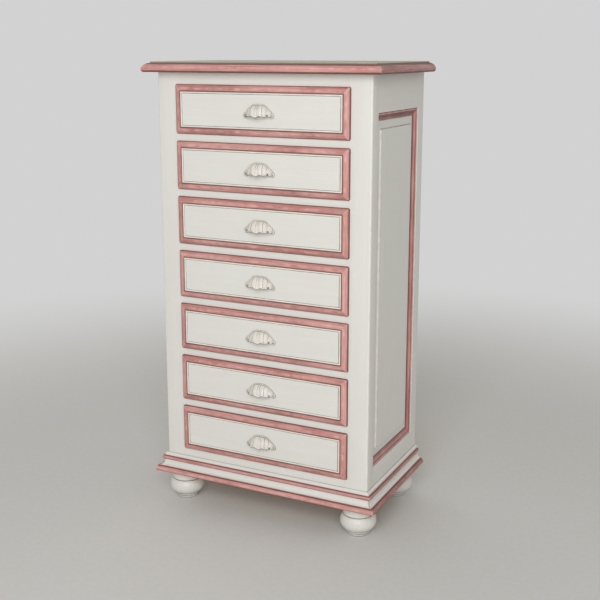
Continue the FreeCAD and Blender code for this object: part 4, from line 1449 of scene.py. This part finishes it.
@dataclass
class BunFeet:
    """Four turned feet: a collar, a crease, a squat ball, two incised rings and a sole."""

    collar: float = 44.4
    crease_z: float = 61.5
    crease_depth: float = 1.8
    widest: float = 53.3
    widest_z: float = 41.0
    fullness: float = 2.3
    ring_z: Pair = (17.5, 9.0)
    ring_radius: Pair = (41.6, 36.0)
    ring_depth: float = 1.4
    sole: float = 28.5
    sole_round: float = 3.0
    ball_steps: int = 26
    segments: int = 72

    def ball(self, z: float) -> float:
        """Radius of the ball at a height, drawn in towards the crease and the upper ring.

        Args:
            z: The height above the floor.

        Returns:
            The radius.
        """
        above, below = self.crease_z - self.widest_z, self.widest_z - self.ring_z[0]
        if z > self.widest_z:
            share, end = (z - self.widest_z) / above, self.collar
        else:
            share, end = (self.widest_z - z) / below, self.ring_radius[0]
        return self.widest - (self.widest - end) * share ** self.fullness

    def profile(self, height: float) -> Section:
        """Profile from the middle of the top to the middle of the sole, as radius and height.

        Args:
            height: The foot's height.

        Returns:
            The profile.
        """
        (upper_z, lower_z), (upper, lower) = self.ring_z, self.ring_radius
        ball_top, ball_foot = self.crease_z - 1.0, upper_z + 0.6
        drop, steps, collar = ball_foot - ball_top, self.ball_steps, self.collar
        crease = (collar - self.crease_depth, self.crease_z)
        upper_ring, lower_ring = (upper - self.ring_depth, upper_z), (lower - self.ring_depth, lower_z)
        rim = self.sole + self.sole_round
        outline = [(0.0, height), (collar + 1.2, height), (collar + 0.6, height - 14.0),
                   (collar, self.crease_z + 1.6), crease]
        levels = [ball_top + drop * index / steps for index in range(steps + 1)]
        outline += [(self.ball(z), z) for z in levels]
        outline += [upper_ring, (upper - 0.4, upper_z - 0.8), (lower + 3.0, lower_z + 3.4),
                    (lower + 0.6, lower_z + 0.7), lower_ring, (lower - 0.4, lower_z - 0.8),
                    (rim + 2.0, self.sole_round), (rim, 0.6), (self.sole, 0.0), (0.0, 0.0)]
        # The mark at the sole's rim darkens the foot along its bottom edge.
        wax_and_shade_marks = [Mark(crease, 2.7), Mark(upper_ring, 2.6), Mark(lower_ring, 2.5), Mark((rim, 0.6), 3.0),
                    Mark((collar, height), 2.5, 0.7)]
        return Section(outline, wax_and_shade_marks, closed=False, step=2.0)

    def build(self) -> None:
        """Spins the profile and sets a copy at each corner."""
        boxes = solid_boxes("bun_feet")
        section = self.profile(boxes[0][1].z)
        points = section.dense()
        mesh = bpy.data.meshes.new("foot_profile")
        mesh.from_pydata([(radius * MM, 0.0, z * MM) for radius, z in points],
                         [(index, index + 1) for index in range(len(points) - 1)], [])
        wax_and_shade = mesh.attributes.new(PATINA_AND_SHADE, "FLOAT", "POINT")
        wax_and_shade.data.foreach_set("value", [gathered(section.wax_and_shade_marks, point) for point in points])
        low, high = box_round([corner for box in boxes for corner in box])
        size = boxes[0][1] - boxes[0][0]
        centre = (low + high) / 2 * MM
        piece = grown("bun_feet_turned", turned_tree(), {
            "Segments": self.segments, "Spacing X": (high.x - low.x - size.x) * MM,
            "Spacing Y": (high.y - low.y - size.y) * MM, "Centre": (centre.x, centre.y, 0.0),
            "Finish": CREAM.on(Grain.Z)}, mesh)
        settle(piece, BODY, "cream_paint", "bun_feet")


@dataclass
class Back:
    """Back panel, a little inside the frame round it, and the pins that hold it."""

    sink: float = 0.6
    easing: float = 1.0
    pin_inset: float = 6.0
    pin_radius: float = 2.1
    pins: int = 44

    def build(self) -> None:
        """Builds the panel and its pins."""
        low, high = node_box("back_panel")
        path = ClosedFrame((low.x, low.z), (high.x, high.z), steps=1)
        face = high.y - self.sink
        arris = (0.0, face - self.easing)
        outline = [(0.0, low.y), arris, (self.easing, face), (self.easing + 8.0, face)]
        section = Section(outline, [Mark(arris, 1.6)], closed=False)
        shell = Shell(shift=16.1)
        shell.cap_ends(shell.sweep(section, path, lambda x, z, y: Vector((x, y, z))), (2, 0))
        settle(shell.solid("back_panel_board", BACK_BOARD.on(Grain.Z)), BODY, "back_board", "back_panel")
        centre = ((low + high) / 2) * MM
        pins = grown("back_panel_pins", pin_tree(), {
            "Width": (high.x - low.x - 2 * self.pin_inset) * MM, "Pins": self.pins,
            "Height": (high.z - low.z - 2 * self.pin_inset) * MM, "Centre": (centre.x, face * MM, centre.z),
            "Radius": self.pin_radius * MM, "Stand": (self.sink - 0.1) * MM, "Finish": PIN.on(Grain.Z)})
        settle(pins, BODY, "back_board")


# ------------------------------------------------------------------------------------------ drawers


@dataclass
class DrawerFront:
    """Lipped drawer front: a rose round all round it and a cream panel with a bead and an incised line."""

    number: int
    round_width: float = 20.5
    round_height: float = 11.0
    edge: float = 1.5
    quirk: float = 0.8
    bead: float = 4.0
    bead_stand: float = 1.4
    line_width: float = 1.3
    line_depth: float = 1.0
    field: float = 10.0
    corner_radius: float = 5.0
    tail_length: float = 9.0
    tail_width: float = 27.0
    tail_taper: float = 1.5
    tails: int = 3
    side_thickness: float = 12.0

    def round_section(self) -> Section:
        """Section of the rose round, as inset and height above the face of the posts.

        Returns:
            The section.
        """
        width, height = self.round_width, self.round_height
        edge, crown = (0.0, self.edge), (width - 0.6, height)
        # The lines at the outer and inner edges are wax; the wide soft marks darken the round towards both
        # edges, and the strip weights darken the left strip, so that the round reads as shaded (painted
        # shade).
        wax_and_shade_marks = [Mark((0.3, 1.2), 3.4, 1.0, (1.0, 1.0, 1.0, 1.2)), Mark((1.0, 4.0), 5.0, 0.35),
                    Mark((0.3, 1.2), 5.5, 0.6, (0.0, 0.2, 0.0, 1.0)),
                    Mark((width, height - 0.4), 2.5, 1.0, (1.0, 1.0, 1.0, 0.45)),
                    Mark((width - 2.5, height - 0.2), 3.4, 0.3)]
        outline = [(0.0, 0.0), edge] + quarter_up(edge, crown, 18)
        outline += [(width, height - self.quirk), (width, 0.0)]
        # The arris mark paints a highlight ridge along the round with its rubbing, the mitres a highlight at
        # the corners with their wear, and the strip film is lighter on the right strip (painted shade).
        return Section(outline, wax_and_shade_marks, [Mark((width - 9.0, height - 1.3), 3.4, 0.95)], step=0.8,
                       mitre_wax=0.12, mitre_wear_and_highlight=1.0, strip_wax_and_shade=(0.34, 0.17, 0.3, 0.32))

    def panel_section(self) -> Section:
        """Section of the cream panel from the face of the posts to the field.

        Returns:
            The section.
        """
        foot = self.round_height - self.quirk
        start, end = (self.round_width, foot), (self.round_width + self.bead, foot)
        line = (end[0] + self.line_width / 2, self.field - self.line_depth)
        field = (end[0] + self.line_width, self.field)
        bead = half_round(start, end, (0.0, self.bead_stand), 8)
        wax_and_shade_marks = [Mark(start, 0.9, 0.7), Mark(line, 1.3, 0.95),
                    Mark((field[0] + 0.8, self.field), 1.3, 0.45, (0.0, 1.0, 0.0, 0.0))]
        # The arris mark on the bead's crown paints a highlight line along it, with its rubbing.
        crown = (self.round_width + self.bead / 2 + 0.3, foot + self.bead_stand)
        return Section([(self.round_width, 0.0), start] + bead + [line, field, (field[0] + 3.0, self.field)],
                       wax_and_shade_marks, [Mark(crown, 2.4)], closed=False, step=0.6, mitre_wax=0.3)

    def comb(self, low: Vector, high: Vector, side: int) -> list[Vector]:
        """Outline of one end of the rebated part, notched for the tails of the drawer side.

        Args:
            low: The low corner of the part.
            high: Its high corner.
            side: Which end it is, -1 or 1.

        Returns:
            The outline.
        """
        height = high.z - low.z
        pitch = height / self.tails
        root = high.y
        tip = root - self.tail_length
        x = side * (high.x - self.side_thickness)
        points = [Vector((x, low.y, low.z)), Vector((x, low.y, high.z)), Vector((x, root, high.z))]
        for index in reversed(range(self.tails)):
            middle = low.z + pitch * (index + 0.5)
            wide, narrow = self.tail_width / 2, self.tail_width / 2 - self.tail_taper
            points += [Vector((x, root, middle + narrow)), Vector((x, tip, middle + wide)),
                       Vector((x, tip, middle - wide)), Vector((x, root, middle - narrow))]
        return points + [Vector((x, root, low.z))]

    def build(self) -> None:
        """Builds the round and the panel of one front."""
        node = f"drawer_{self.number}_front"
        low, high = node_box(node)
        face_y = solid_boxes("front_rails")[0][0].y
        path = ClosedFrame((low.x, low.z), (high.x, high.z), self.corner_radius)

        def place(x: float, z: float, height: float) -> Vector:
            """Place of a point that stands out from the face of the posts."""
            return Vector((x, face_y - height, z))

        body = f"drawer_{self.number}"
        rounds, panel = Shell(shift=20.0 + 1.37 * self.number), Shell(shift=40.0 + 1.71 * self.number)
        rounds.sweep(self.round_section(), path, place)
        rows = panel.sweep(self.panel_section(), path, place)
        panel.cap(rows[0], (0, 2), 1)
        panel.cap(rows[-1], (0, 2))
        back_low, back_high = node_box(f"drawer_{self.number}_sides")
        back_low.y, back_high.y = face_y, high.y
        inner = back_high.x - self.side_thickness
        middle = [Vector((-inner, y, z)) for z, y in rectangle((back_low.z, face_y), (back_high.z, high.y))]
        panel.prism(middle, Vector((2 * inner, 0.0, 0.0)), (0, 2), 1)
        for side in (-1, 1):
            outline = self.comb(back_low, back_high, side)
            panel.prism(outline, Vector((side * self.side_thickness, 0.0, 0.0)), (0, 2), 1)
        settle(rounds.solid(f"{node}_round", ROSE.on(Grain.STRIP)), body, "pink_paint", node)
        settle(panel.solid(f"{node}_panel", CREAM.on(Grain.STRIP), FRONT_CORE.on(Grain.X)), body,
               "front_paint", node)


def bell(value: float, middle: float, width: float) -> float:
    """Soft hump of height 1 about a middle."""
    return math.exp(-((value - middle) / width) ** 2)


@dataclass
class CupPull:
    """Cast cup pull: ribbed shell with two broad lobes and leafy ends, a bead round it and two round ears.

    A lean is an angle in the shell's upright section, from 0 at the lip to a quarter turn at the drawer.
    """

    number: int
    half_width: float = 41.0
    height: float = 34.5
    projection: float = 20.6
    wall: float = 2.2
    crown_half: float = 18.5
    slope: float = 0.93
    crown_soft: float = 2.6
    rib_top: float = 2.8
    rib_foot: float = 5.4
    rib_stand: float = 1.2
    flute_depth: float = 0.45
    flutes: float = 3.2
    flute_reach: float = 0.4
    groove_width: float = 0.8
    lobe_top: float = 14.5
    lobe_foot: float = 19.5
    lobe_stand: float = 1.35
    leaf_stand: float = 1.1
    leaf_ripples: float = 5.0
    leaf_slant: float = 2.2
    hollow: Pair = (33.5, 0.1)
    hollow_size: Pair = (2.4, 0.16)
    hollow_shade: float = 1.1
    lip_rise: float = 6.0
    lip_hang: float = 5.0
    hang_half: float = 10.5
    notch_depth: float = 2.4
    end_drop: float = 3.0
    lip_bead: float = 0.8
    lip_bead_lean: float = 0.08
    lip_bead_width: float = 0.07
    fade_depth: float = 7.0
    lift: float = 0.4
    bead_radius: float = 1.9
    bead_stand: float = 3.0
    bead_shift: float = 0.9
    bead_turns: int = 8
    pearls: int = 25
    pearl_swell: float = 0.1
    ear_spacing: float = 82.0
    ear_radius: float = 7.5
    ear_flare: float = 0.6
    ear_rise: float = 2.5
    ear_lift: float = 3.2
    ear_sides: int = 32
    dish: Pair = (4.2, 1.7)
    ring_radius: float = 7.0
    ring_stand: float = 1.1
    screw_radius: float = 3.0
    screw_height: float = 1.2
    screw_slot: float = 0.7
    screw_seat: float = 1.6
    rim_steps: int = 200
    columns: int = 150
    rows: int = 30

    # Strength, lean and width of a wax line above the lip's bead, at the drawer front and below the bead.
    wax_lines: tuple[Triple, ...] = ((0.35, 0.22, 0.06), (0.95, 1.42, 0.1), (0.9, 0.0, 0.05))

    def outline(self, x: float) -> float:
        """Height of the shell's foot on the drawer front, flat in the middle and sloping to the ears.

        Args:
            x: How far from the middle of the pull.

        Returns:
            The height.
        """
        soft = self.crown_soft
        slope = self.height - self.slope * (abs(x) - self.crown_half)
        return -soft * math.log(math.exp(-self.height / soft) + math.exp(-slope / soft))

    def lip(self, x: float) -> float:
        """Height of the lip: the middle hangs, there is a notch beside it, and the ends come down again.

        Args:
            x: How far from the middle of the pull.

        Returns:
            The height.
        """
        reach = abs(x) / self.hang_half
        if reach <= 1:
            return self.lip_rise - self.lip_hang * (1 - reach ** 2) ** 0.7
        share = (abs(x) - self.hang_half) / (self.half_width - self.hang_half)
        notch = self.notch_depth * math.sin(math.pi * min(1.0, share * 1.4)) ** 2
        return self.lip_rise - notch - self.end_drop * share ** 2

    def relief(self, x: float, rise: float) -> Pair:
        """Carving of the shell.

        Args:
            x: Place across the pull.
            rise: Share of the way from the lip to the drawer front.

        Returns:
            How far the carving stands out, and its wax.
        """
        reach = abs(x)
        rib = self.rib_top + (self.rib_foot - self.rib_top) * (1 - rise) ** 2
        lobe = self.lobe_top + (self.lobe_foot - self.lobe_top) * (1 - rise)
        groove = bell(reach, rib, self.groove_width) * (0.3 + 0.5 * bell(rise, 0.65, 0.3))
        edge = 0.6 * bell(reach, lobe, 1.0)
        if reach <= rib:
            ripple = math.cos(self.flutes * math.pi * reach / rib)
            flute = self.flute_depth * ripple * max(0.0, 1 - rise / self.flute_reach)
            return self.rib_stand * math.sqrt(1 - (reach / rib) ** 2) + flute, max(groove, -0.8 * flute)
        if reach <= lobe:
            share = 2 * (reach - rib) / (lobe - rib) - 1
            return self.lobe_stand * max(0.0, 1 - abs(share) ** 2.4) ** 0.6, max(groove, edge)
        share = (reach - lobe) / (self.half_width - lobe)
        ripple = math.sin(2 * math.pi * (self.leaf_ripples * rise + self.leaf_slant * share))
        fold = abs(math.sin(2 * math.pi * share)) ** 0.6
        shade = 0.42 * max(0.0, -ripple) + 0.5 * (1 - fold) ** 2
        (middle, level), (width, height) = self.hollow, self.hollow_size
        # The pit darkens the deep hollow at each end of the shell, beside the ear (painted shadow).
        pit_shadow = self.hollow_shade * bell(reach, middle, width) * bell(rise, level, height)
        return self.leaf_stand * fold * (0.75 + 0.4 * ripple), max(edge, shade, pit_shadow)

    def surface(self, x: float, lean: float, inset: float) -> tuple[Vector, float]:
        """A point of the shell and its wax.

        Args:
            x: Place across the pull.
            lean: Angle in the upright section.
            inset: How far inside the outer face the point lies.

        Returns:
            The point, with the seat at y = 0, and the wax and painted shade there.
        """
        share = x / self.half_width
        depth = (self.projection - inset) * max(0.0, 1 - share * share) ** 0.5
        height, lip = self.outline(x) - inset, self.lip(x)
        rise, forward = math.sin(lean), max(0.0, math.cos(lean))
        out, wax_and_shade = 0.0, 0.0
        if inset == 0:
            stand, wax_and_shade = self.relief(x, 2 * lean / math.pi)
            out = stand * (0.3 + 0.7 * forward ** 0.4) * min(1.0, depth / self.fade_depth)
            out += self.lip_bead * bell(lean, self.lip_bead_lean, self.lip_bead_width)
            lines = [strength * bell(lean, middle, width) for strength, middle, width in self.wax_lines]
            wax_and_shade = max(wax_and_shade, *lines)
        z = lip + (height - lip) * rise + out * self.lift * rise
        return Vector((x * (1 - inset / self.half_width), -(depth + out) * forward, z)), wax_and_shade

    def shell_points(self, shell: Shell, seat: Vector, inset: float) -> list[list[Vertex]]:
        """Grid of points of the outer or inner face, from the lip up and closer together at the ends.

        Args:
            shell: The mesh to add to.
            seat: The middle of its seat.
            inset: How far inside the outer face.

        Returns:
            The rows of points.
        """
        shares = [2 * column / self.columns - 1 for column in range(self.columns + 1)]
        places = [self.half_width * (0.5 * share + 0.5 * math.sin(math.pi / 2 * share)) for share in shares]
        grid = []
        for share in (row / self.rows for row in range(self.rows + 1)):
            lean = math.pi / 2 * (share * 0.7 + 0.3 * share ** 2)
            line = []
            for place, wax_and_shade in (self.surface(x, lean, inset) for x in places):
                line.append(shell.point(seat + place, wax_and_shade))
            grid.append(line)
        return grid

    def dome(self, shell: Shell, seat: Vector) -> None:
        """Adds the shell of the pull with its wall.

        Args:
            shell: The mesh to add to.
            seat: The middle of its seat.
        """
        outer, inner = self.shell_points(shell, seat, 0.0), self.shell_points(shell, seat, self.wall)
        shell.grid(outer)
        shell.grid(inner)
        for near, far in ((list(zip(*outer)), list(zip(*inner))), (outer, inner)):
            shell.grid([near[0], far[0]])
            shell.grid([near[-1], far[-1]])

    def rim(self, shell: Shell, seat: Vector) -> None:
        """Adds the bead that follows the outline on the drawer front.

        Args:
            shell: The mesh to add to.
            seat: The middle of its seat.
        """
        count, turns = self.rim_steps, self.bead_turns
        rows = []
        for step in range(count + 1):
            x = self.half_width * (2 * step / count - 1)
            pearl = math.cos(2 * math.pi * self.pearls * step / count)
            size = 1 + self.pearl_swell * pearl
            here = seat + Vector((x, 0.0, self.outline(x)))
            ahead = Vector((0.5, 0.0, self.outline(x + 0.25) - self.outline(x - 0.25))).normalized()
            outward = Vector((-ahead.z, 0.0, ahead.x))
            row = []
            for turn in range(turns + 1):
                angle = math.pi * turn / turns
                side = outward * (math.cos(angle) * self.bead_radius * size + self.bead_shift)
                stand = Vector((0.0, -math.sin(angle) * self.bead_stand * size, 0.0))
                flank = 0.9 if turn < 2 else max(0.0, 1 - (turns - turn) / 3.2)
                row.append(shell.point(here + side + stand, max(flank, -0.5 * pearl)))
            rows.append(row)
        shell.grid(rows, wrap=True)
        shell.cap_ends(rows, (0, 2))

    def ear(self, shell: Shell, centre: Vector) -> None:
        """Adds one ear: a dished round with a raised ring.

        Args:
            shell: The mesh to add to.
            centre: The middle of the ear.
        """
        edge, (dish, face) = self.ear_radius + self.ear_flare, self.dish
        ring = half_round(self.dish, (self.ring_radius, face), (0.0, self.ring_stand), 8)
        profile = [(0.0, face), self.dish] + ring
        profile += [(self.ear_radius, face - 0.2), (edge, 0.9), (edge, 0.0), (0.0, 0.0)]
        # The mark at the ear's edge darkens it where it meets the drawer front, partly wax and partly painted
        # shade.
        marks = [Mark(self.dish, 0.7, 0.8), Mark((dish + 3.0, face - 0.1), 0.5, 0.4), Mark((edge, 0.3), 1.3)]
        turns = [2 * math.pi * index / self.ear_sides for index in range(self.ear_sides)]
        rows = []
        for radius, height in profile:
            wax_and_shade = gathered(marks, (radius, height))
            places = [Vector((radius * math.cos(turn), -height, radius * math.sin(turn))) for turn in turns]
            rows.append([shell.point(centre + place, wax_and_shade) for place in places])
        shell.grid(rows, wrap=True)

    def build(self, screws: bpy.types.NodeTree) -> None:
        """Builds the pull and its two screws.

        Args:
            screws: The tree that adds screws.
        """
        body = f"drawer_{self.number}"
        node = body + "_pull"
        low, high = node_box(node)
        seat = Vector((0.0, high.y, low.z - (self.ear_rise - self.ear_radius)))
        lift = self.ear_rise + self.ear_lift
        ears = [seat + Vector((side * self.ear_spacing / 2, 0.0, lift)) for side in (-1, 1)]
        shell = Shell(shift=60.0 + 1.9 * self.number)
        self.dome(shell, seat)
        self.rim(shell, seat)
        for centre in ears:
            self.ear(shell, centre)
        settle(shell.solid(node + "_cast", CAST.on(Grain.Z)), body, "pull_metal", node)
        left = (ears[0] - Vector((0.0, self.screw_seat, 0.0))) * MM
        heads = grown(node + "_screws", screws, {
            "Left seat": tuple(left), "Spacing": self.ear_spacing * MM, "Radius": self.screw_radius * MM,
            "Height": self.screw_height * MM, "Slot": self.screw_slot * MM, "Seed": 11 + self.number,
            "Finish": SCREW.on(Grain.X)})
        settle(heads, body, "pull_metal")


class HiddenWood:
    """The pieces behind the fronts, which keep the frame's own meshes."""

    carcass = {"back_posts": CREAM.on(Grain.Z), "back_rails": CARCASS_WOOD.on(Grain.X)}
    carcass |= dict.fromkeys(("drawer_guides", "drawer_runners", "top_kickers"), CARCASS_WOOD.on(Grain.Y))
    drawer = {"sides": DRAWER_WOOD.on(Grain.Y), "back": DRAWER_WOOD.on(Grain.X),
              "bottom": PLYWOOD.on(Grain.X)}

    def dress(self, drawers: int) -> None:
        """Gives every plain node its finish.

        Args:
            drawers: Number of drawers.
        """
        finishes = dict(self.carcass)
        for number in range(1, drawers + 1):
            finishes |= {f"drawer_{number}_{piece}": finish for piece, finish in self.drawer.items()}
        for node, finish in finishes.items():
            mesh = frame["nodes"][node].data
            mesh.materials.clear()
            mesh.materials.append(finish)
            LOG.info("%s: %s", node, finish.name)


# ------------------------------------------------------------------------------------------ surroundings


@dataclass(frozen=True)
class Studio:
    """Camera, floor, world and lamps."""

    camera_place: Triple = (1.3449, -2.6459, 1.3752)
    yaw: float = 26.344
    pitch: float = 12.330
    lens: float = 60.45
    sensor: float = 36.0
    shift_y: float = -0.05
    backdrop: Four = srgb(210, 210, 210)
    floor_colour: Four = srgb(214, 214, 213)
    speckle: float = 1.03
    ambient: float = 0.395
    ambient_tint: Four = (1.0, 0.962, 0.89, 1.0)
    lamp_size: float = 3.4
    key_power: float = 186.0
    key_place: Triple = (1.9, -4.75, 2.8)
    back_power: float = 22.0
    back_place: Triple = (-2.2, 2.4, 2.2)
    target: Triple = (0.0, 0.0, 0.65)
    floor_radius: float = 40.0
    floor_sides: int = 64
    fade: Pair = (1.0, 3.2)

    def camera(self) -> None:
        """Places the camera level in roll, turned and tipped by its two angles."""
        data = bpy.data.cameras.new("camera")
        data.lens, data.sensor_width, data.shift_y = self.lens, self.sensor, self.shift_y
        camera = add_object("camera", data)
        camera.location = self.camera_place
        camera.rotation_euler = (math.radians(90 - self.pitch), 0.0, math.radians(self.yaw))
        bpy.context.scene.camera = camera

    def seen(self, graph: Graph) -> Socket:
        """1 for rays that show the backdrop and 0 for rays that light things.

        Args:
            graph: The graph to add it to.

        Returns:
            The share.
        """
        rays = graph.node("ShaderNodeLightPath").outputs
        glossy = graph.math("MAXIMUM", rays["Is Camera Ray"], rays["Is Glossy Ray"])
        return graph.math("MAXIMUM", glossy, rays["Is Transmission Ray"])

    def world(self) -> None:
        """Even white light from all round, with a pale backdrop."""
        world = bpy.data.worlds.new("studio")
        graph = fresh_graph(world)
        light = graph.first("ShaderNodeBackground", {"Color": self.ambient_tint, "Strength": self.ambient})
        pale = graph.first("ShaderNodeBackground", {"Color": self.backdrop, "Strength": 1.0})
        mixed = graph.first("ShaderNodeMixShader", {0: self.seen(graph), 1: light, 2: pale})
        graph.node("ShaderNodeOutputWorld", {"Surface": mixed})
        bpy.context.scene.world = world

    def floor(self) -> None:
        """Pale floor that melts into the backdrop away from the chest."""
        material = bpy.data.materials.new("pale_floor")
        graph = fresh_graph(material)
        place = graph.node("ShaderNodeTexCoord").outputs["Object"]
        distance = graph.node("ShaderNodeVectorMath", {0: place}, operation="LENGTH").outputs["Value"]
        share = graph.times(graph.ramp(distance, *self.fade), self.seen(graph))
        speckle = graph.ramp(graph.noise(place, 60.0, 4.0), 0.3, 0.7)
        paler = (*(min(1.0, channel * self.speckle) for channel in self.floor_colour[:3]), 1.0)
        matt = graph.first("ShaderNodeBsdfDiffuse", {"Color": graph.blend(speckle, self.floor_colour, paler)})
        glow = graph.first("ShaderNodeEmission", {"Color": self.backdrop, "Strength": 1.0})
        graph.node("ShaderNodeOutputMaterial", {
            "Surface": graph.first("ShaderNodeMixShader", {0: share, 1: matt, 2: glow})})
        mesh = bpy.data.meshes.new("floor")
        reach, sides = self.floor_radius, self.floor_sides
        turns = [2 * math.pi * index / sides for index in range(sides)]
        points = [(reach * math.cos(turn), reach * math.sin(turn), 0.0) for turn in turns]
        mesh.from_pydata(points, [], [list(range(sides))])
        mesh.materials.append(material)
        add_object("floor", mesh)

    def lamp(self, name: str, place: Triple, power: float) -> None:
        """Adds a square soft lamp that faces the chest.

        Args:
            name: The lamp's name.
            place: Where it hangs.
            power: Its power in watts.
        """
        data = bpy.data.lights.new(name, "AREA")
        data.energy, data.size = power, self.lamp_size
        lamp = add_object(name, data)
        lamp.location = place
        lamp.rotation_euler = (Vector(self.target) - Vector(place)).to_track_quat("-Z", "Y").to_euler()

    def build(self) -> None:
        """Sets everything round the chest."""
        self.camera()
        self.world()
        self.floor()
        self.lamp("key", self.key_place, self.key_power)
        self.lamp("back_fill", self.back_place, self.back_power)
        bpy.context.scene.view_settings.view_transform = "Standard"


def main() -> None:
    """Dresses the chest and its surroundings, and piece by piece."""
    logging.basicConfig(level=logging.INFO, format="%(name)s %(message)s")
    Studio().build()
    drawers = len(frame["joints"])
    screws = screw_tree()
    for part in (TopBoard(), Joinery(), SidePanels(), Base(), BunFeet(), Back()):
        LOG.info("building %s", type(part).__name__)
        part.build()
    for number in range(1, drawers + 1):
        DrawerFront(number).build()
        CupPull(number).build(screws)
    HiddenWood().dress(drawers)


if __name__ == "__main__":
    main()
